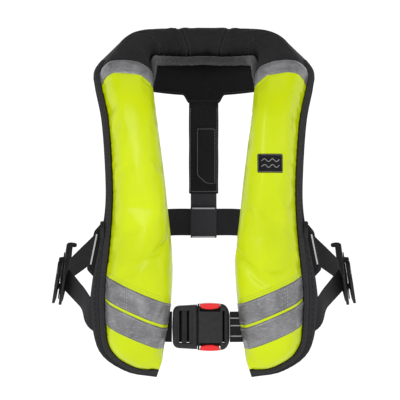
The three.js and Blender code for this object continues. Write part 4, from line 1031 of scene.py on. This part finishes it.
for side in ("left", "right"):
    grid, normals = lobes[side]["grid"], lobes[side]["normals"]
    columns = np.arange(COUNT, dtype=float)
    for level, down in TAPE_LEVELS.items():
        rows = []
        for t in np.linspace(0, 1, 9):
            rows.append(row_where(side, tape_line(down, t)))
        rows = np.array(rows).T
        fine = np.linspace(0.35, COUNT - 1.3, 70)
        i = np.stack([np.interp(fine, columns, rows[:, k]) for k in range(9)], 1)
        j = np.repeat(fine[:, None], 9, 1)
        place, up = sample(grid, i, j), unit(sample(normals, i, j))
        crumple = np.array([[noise.noise(tuple(p * 55)) * 0.0003 for p in row] for row in place])
        lift = np.array([0.55, 0.9, 0.95, 0.95, 0.95, 0.95, 0.95, 0.9, 0.55]) * MM
        top = place + up * (lift + crumple)[..., None]
        give(sheet_between(f"tape_{level}_{side}", top, place - up * 0.0002), TAPE,
             replaces=[f"{level}_tape_{side}"])
        runs = []
        for t in (0.09, 0.91):
            k = t * 8
            runs.append(run_on(top, up, np.arange(70.0), np.full(70, k)))
        if level == "upper":  # the seam where two lengths of tape join
            k = np.linspace(0.6, 7.4, 12)
            joint = 25.0 if side == "right" else 23.0
            for extra in (0, 1.6):
                runs.append(run_on(top, up, np.full(12, joint + extra), k))
        stitches(f"tape_stitches_{level}_{side}", runs, GREY_THREAD)
    # a double row of stitches on the cover above the upper tape
    runs = []
    for above in (0.0035, 0.0075):
        i = np.interp(np.linspace(1, COUNT - 2, 70), columns, row_where(side, tape_line(-above, 0)))
        j = np.linspace(1, COUNT - 2, 70)
        runs.append((sample(grid, i, j), unit(sample(normals, i, j))))
    stitches(f"cover_stitches_{side}", runs, YELLOW_THREAD)

    # shoulder tape over the seam between the lobe and the collar
    both_s = lobes[side]["s"]
    measure, collar_measure = on_side(side, both_s), on_side(side, collar_s)
    wanted = np.linspace(*SHOULDER_TAPE, 10) / LAST
    strip, strip_up = [], []
    j_fine = np.linspace(0.008, 0.985, 60)
    for w in wanted:
        if w < SEAM:
            i = np.interp(w, measure, np.arange(len(measure)))
            g, n = grid, normals
        else:
            order = np.argsort(collar_measure)
            i = np.interp(w, collar_measure[order], order)
            g, n = collar_grid, collar_normals
        j = j_fine * (g.shape[1] - 1)
        strip.append(sample(g, np.full(60, i), j))
        strip_up.append(unit(sample(n, np.full(60, i), j)))
    strip, strip_up = np.array(strip).transpose(1, 0, 2), unit(np.array(strip_up).transpose(1, 0, 2))
    for _ in range(2):
        strip[:, 1:-1] = strip[:, 1:-1] * 0.5 + (strip[:, :-2] + strip[:, 2:]) * 0.25
    lift = np.array([0.7, 1.1] + [1.25] * 6 + [1.1, 0.7]) * MM
    crumple = np.array([[noise.noise(tuple(p * 60)) * 0.0005 for p in row] for row in strip])
    top = strip + strip_up * (lift + crumple)[..., None]
    give(sheet_between(f"tape_shoulder_{side}", top, strip - strip_up * 0.0006), TAPE,
         replaces=[f"shoulder_tape_{side}"])
    runs = [run_on(top, strip_up, np.arange(60.0), np.full(60, k)) for k in (0.9, 8.1)]
    stitches(f"shoulder_stitches_{side}", runs, GREY_THREAD)

# badge: a plain dark patch with two light waves
grid, normals = lobes["left"]["grid"], lobes["left"]["normals"]
i_of = {}
columns = np.arange(COUNT, dtype=float)


def on_left_lobe(x, z):
    """Points and normals of the left cover at the given x and z in the front view, in metres."""
    points, ups = np.zeros((len(x), 3)), np.zeros((len(x), 3))
    for k, (px, pz) in enumerate(zip(x, z)):
        key = round(float(pz), 5)
        if key not in i_of:
            i_of[key] = row_where_free(key)
        i = i_of[key]
        line = sample(grid, i, columns)
        sign = -1 if line[0, 0] > line[-1, 0] else 1
        j = np.interp(sign * px, sign * line[:, 0], columns)
        points[k] = sample(grid, np.interp([j], columns, i), np.array([j]))[0]
        ups[k] = unit(sample(normals, np.interp([j], columns, i), np.array([j])))[0]
    return points, ups


def row_where_free(z):
    out = []
    for j in range(COUNT):
        column = grid[:, j, 2]
        out.append(np.interp(z, column, np.arange(len(column))))
    return np.clip(np.array(out), 0, len(grid) - 1.001)


BADGE_X, BADGE_Z = 0.104, -0.150
BADGE_W, BADGE_H = 0.040, 0.030
xs, zs = np.linspace(-0.5, 0.5, 19), np.linspace(-0.5, 0.5, 15)
patch, patch_up = [], []
for tz in zs:
    inset = 0.06 * smoothstep(abs(tz), 0.42, 0.5)
    p, n = on_left_lobe(BADGE_X + xs * BADGE_W * (1 - inset), np.full(19, BADGE_Z + tz * BADGE_H))
    patch.append(p)
    patch_up.append(n)
patch, patch_up = np.array(patch), np.array(patch_up)
rim_x, rim_z = smoothstep(0.5 - np.abs(xs), 0, 0.03), smoothstep(0.5 - np.abs(zs), 0, 0.04)
rim = np.minimum(rim_x[None, :], rim_z[:, None])
top = patch + patch_up * (0.0004 + 0.0007 * rim)[..., None]
give(sheet_between("badge_patch", top, patch - patch_up * 0.0002), SLEEVE, replaces=["badge"])
WAVE_HALF = 0.0135
badge_runs = []
for level in (-0.0045, 0.0045):
    x = np.linspace(-WAVE_HALF, WAVE_HALF, 60)
    z = level + 0.0022 * np.sin(x / WAVE_HALF * 2.2 * math.pi)
    i, j = (z / BADGE_H + 0.5) * 14, (x / BADGE_W + 0.5) * 18
    badge_runs.append(run_on(top, patch_up, i, j))
stitches("badge_waves", badge_runs, GREY_THREAD, length=0.0012, space=0.0002, radius=0.0007)
edge_runs = []
CORNERS = [(-0.46, -0.44), (0.46, -0.44), (0.46, 0.44), (-0.46, 0.44)]
for (x0, z0), (x1, z1) in zip(CORNERS, CORNERS[1:] + CORNERS[:1]):
    t = np.linspace(0, 1, 20)
    i, j = ((z0 + (z1 - z0) * t) + 0.5) * 14, ((x0 + (x1 - x0) * t) + 0.5) * 18
    edge_runs.append(run_on(top, patch_up, i, j))
stitches("badge_edge", edge_runs, GREY_THREAD, length=0.0014, space=0.0004, radius=0.0003)

# ---- folded bladder inside the covers
bladder_s = rows_between(5.5 / LAST, 1 - 5.5 / LAST, 0.010)
bladder_grid = dome_grid(bladder_s, 24, 0.0105)
pleat = 0.0009 * np.sin(np.linspace(0, 11 * math.pi, 24))[None, :] * np.ones((len(bladder_s), 1))
bladder_grid = bladder_grid + grid_normals(bladder_grid) * pleat[..., None]
give(close_cover("bladder_folded", bladder_grid), BLADDER, replaces=["bladder"])

# ---- yoke, sleeve, flap and belt loop
LEAN = math.atan2(19, 176)
STRAP_TOP = np.array([0, 93, -20]) * MM
SLEEVE_TOP = -9 / math.cos(LEAN) - 0.6
SLEEVE_LOW = -math.hypot(19, 176)
LOOP_TOP = SLEEVE_LOW - 24


def strap_place(points):
    """From the back strap's own axes, in millimetres, to the row frame."""
    p = np.asarray(points, float) * MM
    c, t = math.cos(LEAN), math.sin(LEAN)
    return np.stack([p[..., 0], p[..., 1] * c - p[..., 2] * t, p[..., 1] * t + p[..., 2] * c], -1) + STRAP_TOP


x = np.linspace(-92, 92, 93)
bottom = -18 - 14 * (1 - smoothstep(np.abs(x), 27, 38))
top_z = np.where(np.abs(x) < 60, 46, 46 - (np.abs(x) - 60) * 0.35)
share = np.linspace(0, 1, 26)[None, :]
z = bottom[:, None] + (top_z - bottom)[:, None] * share
y = 93 + (-20 - z) * math.tan(LEAN) - 62 * (x[:, None] / 92) ** 2
folds = np.array([[noise.noise((px * 0.035, pz * 0.05, 3.1)) * 1.1
                   + noise.noise((px * 0.11, pz * 0.1, 8.0)) * 0.4
                   for pz in row] for px, row in zip(x, z)])
hem = 0.5 * np.exp(-((share - 0.035) / 0.03) ** 2)
hem = hem + 3.4 * (1 - smoothstep(np.abs(x), 24, 40))[:, None] * (1 - smoothstep(z, -27, -6))
face = np.stack([x[:, None] + 0 * z, y + folds * smoothstep(share, 0, 0.2) - hem, z], -1) * MM
rear = face + np.array([0, 0.0024, 0])
give(sheet_between("yoke_cloth", face, rear), YOKE, replaces=["back_yoke"])
facing = np.tile(unit([0.0, -1.0, 0.0]), (93, 1))
stitches("yoke_stitches", [(sample(face, np.arange(93.0), np.full(93, 1.3)), facing)], BLACK_THREAD)

rows = np.linspace(SLEEVE_TOP, SLEEVE_LOW, 70)
turn = np.linspace(0, 2 * math.pi, 73)[:-1]
cx = np.sign(np.cos(turn)) * np.abs(np.cos(turn)) ** 0.30 * 27
cy = np.sign(np.sin(turn)) * np.abs(np.sin(turn)) ** 0.75 * 2.5
pts = np.zeros((70, 72, 3))
for k, zz in enumerate(rows):
    down = (zz - SLEEVE_TOP) / (SLEEVE_LOW - SLEEVE_TOP)
    front = cy < -0.4
    fold = 0.75 * np.exp(-(((cx + 17 + 1.5 * down) / 1.3) ** 2))
    fold = fold * smoothstep(down, 0.12, 0.24) * (1 - smoothstep(down, 0.93, 0.98))
    crease = np.array([noise.noise((a * 0.09, zz * 0.035, 5.5)) * 0.55
                       + noise.noise((a * 0.25, zz * 0.12, 1.5)) * 0.18 for a in cx])
    hem = 0.35 * math.exp(-(((down - 0.985) / 0.012) ** 2))
    wide = cx * (1 + 0.006 * math.sin(zz * 0.09))
    deep = cy - (fold + crease + hem) * front + crease * 0.4 * (~front)
    pts[k] = np.stack([wide, deep, np.full(72, zz)], -1)
v = np.concatenate([[0], np.cumsum(np.hypot(np.diff(cx), np.diff(cy)))]) * MM
sleeve = loft("strap_sleeve_cloth", strap_place(pts), uvs=uv_grid((rows - rows[0]) * MM, v))
give(sleeve, SLEEVE, replaces=["strap_sleeve"])
down = np.linspace(SLEEVE_TOP - 10, SLEEVE_LOW + 3, 120)
ahead = strap_place([[0, -1, 0]])[0] - STRAP_TOP
runs = []
for sx in (-24.4, 24.4):
    line = strap_place(np.stack([np.full(120, sx), np.full(120, -2.25), down], -1))
    runs.append((line, np.tile(unit(ahead), (120, 1))))
line = strap_place(np.stack([np.linspace(-23, 23, 40), np.full(40, -2.75), np.full(40, SLEEVE_LOW + 4)], -1))
runs.append((line, np.tile(unit(ahead), (40, 1))))
stitches("sleeve_stitches", runs, GREY_THREAD, radius=0.0003)

flap_outline = rounded([(-13, 0), (22, 0), (22, -110), (4, -108), (-13, -92)], 3) * MM


def flap_at(xy, height):
    low = smoothstep(-xy[:, 1], 0.07, 0.11)
    y = -2.95 * MM - height - 0.0016 * low * low
    p = np.stack([xy[:, 0] / MM, y / MM, xy[:, 1] / MM + SLEEVE_TOP - 44], -1)
    return strap_place(p)


flap, edge = soft_plate("strap_flap_cloth", flap_outline, flap_at, 0.0014)
give(flap, SLEEVE, replaces=["strap_flap"])
inner = edge.mean(0) + (edge - edge.mean(0)) * 0.91
inner = np.vstack([inner, inner[:1]])
flap_run = (flap_at(inner, 0.0017 * np.ones(len(inner))), np.tile(unit(ahead), (len(inner), 1)))
stitches("flap_stitches", [flap_run], GREY_THREAD, radius=0.0003)


def loop_strap(name, line, place, sideways, width, thickness, material, replaces=(), closed=False):
    """Webbing along a line drawn in its own y-z plane."""
    line = np.asarray(line, float)
    ahead = np.roll(line, -1, 0) - np.roll(line, 1, 0) if closed else np.gradient(line, axis=0)
    normal = unit(np.stack([ahead[:, 1], -ahead[:, 0]], -1))
    points = place(np.stack([np.zeros(len(line)), line[:, 0], line[:, 1]], -1))
    tips = place(np.stack([np.zeros(len(line)), line[:, 0] + normal[:, 0], line[:, 1] + normal[:, 1]], -1))
    outs = unit(tips - points)
    ups = np.tile(sideways, (len(line), 1))
    obj = strap(name, points, outs, ups, width * MM, thickness * MM, path_closed=closed)
    return give(obj, material, replaces=replaces)


top_z, low_z = LOOP_TOP - 1.1, LOOP_TOP - 57.3
loop_line = even(rounded([(-2.9, top_z), (2.9, top_z), (2.9, low_z), (-2.9, low_z)], 2.4, 6), 1.6)
loop_strap("belt_loop_web", loop_line, strap_place, (1.0, 0, 0), 48, 2.0, LOOP_WEB,
           ["belt_loop"], closed=True)
stem = np.stack([np.zeros(40), np.linspace(LOOP_TOP - 0.4, LOOP_TOP + 80, 40)], -1)
loop_strap("belt_loop_stem", stem, strap_place, (1.0, 0, 0), 47.6, 1.8, LOOP_WEB)

# ---- waist belt
LOOP_CENTRE = strap_place([[0, 0, LOOP_TOP - 2.2 - 27]])[0] / MM
ROUTE = np.array([
    (0, -83, -415), (60, -83, -415), (125, -82.5, -412.5), (180, -74, -399), (205, -45, -370), (241, 0, -337),
    (207, 47, -305), (178, 86, -280), (130, 102, -263), (70, LOOP_CENTRE[1], LOOP_CENTRE[2] - 1),
    (0, LOOP_CENTRE[1], LOOP_CENTRE[2]),
], float)
GIRTH = 238
BELT_FRONT = 83
BELT_Y = (LOOP_CENTRE[1] - BELT_FRONT) / 2
BELT_DEEP = (LOOP_CENTRE[1] + BELT_FRONT) / 2


def belt_frames(t):
    """Points, outward and upward directions of the left half of the belt, in millimetres."""
    t = np.asarray(t, float)
    p = curve_at(ROUTE, t)
    along = unit(curve_at(ROUTE, np.clip(t + 0.0005, 0, 1)) - curve_at(ROUTE, np.clip(t - 0.0005, 0, 1)))
    back = ((p[:, 1] - BELT_Y) / BELT_DEEP) ** 3 / 2
    out = np.stack([(p[:, 0] / GIRTH) ** 3, back, np.maximum(0, back) * math.tan(LEAN)], -1)
    out = unit(out - along * (out * along).sum(-1, keepdims=True))
    return p, out, unit(np.cross(out, along)), along


mid_p, _, _, mid_along = (a[0] for a in belt_frames([0.5]))
# the adjuster's bars and where the belt leaves its route for them, in millimetres
TURN_R, BAR_X = 4.0, 9.0
JOIN_FROM_ADJUSTER = 54
lean, yaw = math.radians(8), math.radians(9)
ADJ_OUT = np.array([math.cos(lean) * math.cos(yaw), -math.cos(lean) * math.sin(yaw), math.sin(lean)])
ADJ_ALONG = unit(mid_along - ADJ_OUT * (mid_along @ ADJ_OUT))
ADJ_UP = np.cross(ADJ_OUT, ADJ_ALONG)


def turn_frames(direction, tail, steps=16):
    radius, cx = TURN_R, direction * BAR_X
    places = [(cx - direction * radius * math.sin(a), -radius * math.cos(a), direction * a)
              for a in np.linspace(0, math.pi, steps)]
    places += [(cx + direction * d, radius, direction * math.pi) for d in (tail * 0.4, tail * 0.8, tail)]
    p = np.array([mid_p + ADJ_ALONG * x + ADJ_OUT * z for x, z, _ in places])
    out = np.array([-math.sin(a) * ADJ_ALONG + math.cos(a) * ADJ_OUT for _, _, a in places])
    return p, out, np.tile(ADJ_UP, (len(places), 1))


fine = np.linspace(0.2, 0.8, 3000)
fine_p = belt_frames(fine)[0]
local_x = (fine_p - mid_p) @ ADJ_ALONG
front_join = fine[np.abs(local_x + JOIN_FROM_ADJUSTER).argmin()]
back_join = fine[np.abs(local_x - JOIN_FROM_ADJUSTER).argmin()]
start_t = np.linspace(0, 0.2, 4000)
start_x = belt_frames(start_t)[0][:, 0]


def joined(*parts):
    return [np.concatenate([p[k] for p in parts]) for k in range(3)]


def ripple(p, out, seed, size=0.5):
    wave = np.array([noise.noise((q[0] * 0.03, q[1] * 0.03, q[2] * 0.03 + seed)) for q in p])
    return p + out * (wave * size)[:, None]


def lead_between(first, then):
    """Frames of the short straight lead from the end of one run of webbing to the start of the next."""
    reach = np.linspace(0, 1, 14)[1:-1, None]
    mixed = [a[-1] * (1 - reach) + b[0] * reach for a, b in zip(first, then)]
    return [mixed[0], unit(mixed[1]), unit(mixed[2])]


def front_belt(start_mm, tail):
    t0 = start_t[np.abs(start_x - start_mm).argmin()]
    p, out, up, _ = belt_frames(np.linspace(t0, front_join, 70))
    p = ripple(p, out, start_mm, 0.35)
    turned = turn_frames(-1, tail)
    return joined((p, out, up), lead_between((p, out, up), turned), turned)


FLIP = np.array([-1.0, 1.0, 1.0])
BELT_W = 50 * MM
BELT_T = 1.8 * MM
p, out, up = front_belt(41.9, 26)
left = strap("belt_front_left", p * MM, out, up, BELT_W, BELT_T)
give(left, STRIPED, replaces=["front_belt_left"])
p, out, up = front_belt(52.4, 26)
moving = strap("belt_front_right", p * FLIP * MM, out * FLIP, up * FLIP, BELT_W, BELT_T)
give(moving, WEBBING, body=None, replaces=["front_belt_right"])
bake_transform(moving)


def flat_strip(name, x0, x1, count, y, height, thickness):
    """A flat strip that faces forwards, level with the buckle."""
    line = np.stack([np.linspace(x0, x1, count), np.full(count, y), np.full(count, BUCKLE_Z)], -1)
    outs, ups = np.tile((0, -1.0, 0), (count, 1)), np.tile((0, 0, 1.0), (count, 1))
    return strap(name, line, outs, ups, height, thickness)


BUCKLE_Z = -0.415
# the turned webbing that fills the buckle's slots from behind
turn_right = flat_strip("belt_turn_right", -0.0455, -0.0195, 8, -0.0752, 0.053, 0.0014)
give(turn_right, WEBBING, body="buckle_male")
turn_left = flat_strip("belt_turn_left", 0.0265, 0.0375, 8, -0.0752, 0.053, 0.0014)
give(turn_left, WEBBING)

# the buckle's back shell, seen through the gaps beside its buttons
shell = flat_strip("buckle_back_shell", -0.0125, 0.0295, 10, -0.0737, 0.066, 0.0013)
give(shell, BUCKLE_PLASTIC)

p, out, up, _ = belt_frames(np.linspace(back_join, 1, 90))
p = ripple(p, out, 9.0, 0.35)
turned = [a[::-1] for a in turn_frames(1, 22)]
left_half = joined(turned, lead_between(turned, (p, out, up)), (p, out, up))
right_half = [a[:-1][::-1] * FLIP for a in left_half]
p, out, up = joined(left_half, right_half)
give(strap("belt_back", p * MM, out, up, BELT_W, BELT_T), WEBBING, replaces=["back_belt"])

# ---- keepers and side tabs
KEEPER_X = 0.118
TAB_X, TAB_Y, TAB_Z = 0.171, -0.0888, -0.290
keeper_z = float(belt_frames([start_t[np.abs(start_x - 118).argmin()]])[0][0, 2])
for side, sign in (("left", 1), ("right", -1)):
    y0, y1 = -90.9, -78.8
    corners = [(y0, keeper_z - 40), (y0, keeper_z - 29), (y1, keeper_z - 26.5)]
    corners += [(y1, keeper_z + 26.5), (y0, keeper_z + 29), (y0, keeper_z + 40)]
    line = even(rounded(corners, 5, 6, closed=False), 1.8, closed=False)

    def keeper_at(p, sign=sign):
        return np.asarray(p, float) * MM + np.array([sign * KEEPER_X, 0, 0])

    loop_strap(f"keeper_{side}", line, keeper_at, (1.0, 0, 0), 26, 1.6, WEBBING,
               [f"belt_keeper_{side}"])

    outline = rounded([(-24, 44), (-4, 45), (8, 31), (20, -31), (8, -44), (-18, -44)], 3) * MM
    outline = outline * (sign, 1)

    def tab_at(xy, height, sign=sign):
        return np.stack([sign * TAB_X + xy[:, 0], TAB_Y - height, TAB_Z + xy[:, 1]], -1)

    tab, edge = soft_plate(f"side_tab_cloth_{side}", outline, tab_at, 0.0026,
                           puff=0.0, wave=0.0003, seed=sign)
    give(tab, SLEEVE, replaces=[f"side_tab_{side}"])
    inner = edge.mean(0) + (edge - edge.mean(0)) * 0.9
    inner = np.vstack([inner, inner[:1]])
    ahead = np.tile([0.0, -1.0, 0.0], (len(inner), 1))
    tab_run = (tab_at(inner, 0.0027 * np.ones(len(inner))), ahead)
    stitches(f"side_tab_stitches_{side}", [tab_run], BLACK_THREAD)


def finish_node(name, material, bevel=0.0004):
    obj = nodes[name]
    obj.data.materials.clear()
    obj.data.materials.append(material)
    if bevel:
        edge = obj.modifiers.new("edge", "BEVEL")
        edge.width = bevel
        edge.segments = 2
        edge.limit_method = "ANGLE"
        edge.angle_limit = math.radians(42)
        edge.use_clamp_overlap = True


for name in ("buckle_housing", "buckle_tongue"):
    finish_node(name, BUCKLE_PLASTIC, 0.0006)
for name in ("release_button_upper", "release_button_lower"):
    finish_node(name, RED_PLASTIC, 0.0005)
for side in ("left", "right"):
    for name in ("adjuster_frame_", "adjuster_lever_"):
        finish_node(name + side, BLACK_PLASTIC, 0.0004)
    for name in ("zip_slider_", "zip_pull_"):
        finish_node(name + side, BLACK_PLASTIC, 0.0002)
    finish_node("tab_bar_" + side, PALE_TRIM, 0.0002)
for name in ("loop_bar_upper", "loop_bar_lower"):
    finish_node(name, PALE_TRIM, 0.0002)
finish_node("gas_cylinder", STEEL, 0.0006)
finish_node("inflator_head", BLACK_PLASTIC, 0.0005)
finish_node("firing_lever", RED_PLASTIC, 0.0003)
finish_node("oral_tube", BLACK_PLASTIC, 0.0003)
finish_node("oral_cap", RED_PLASTIC, 0.0003)
finish_node("whistle", ORANGE_PLASTIC, 0.0004)
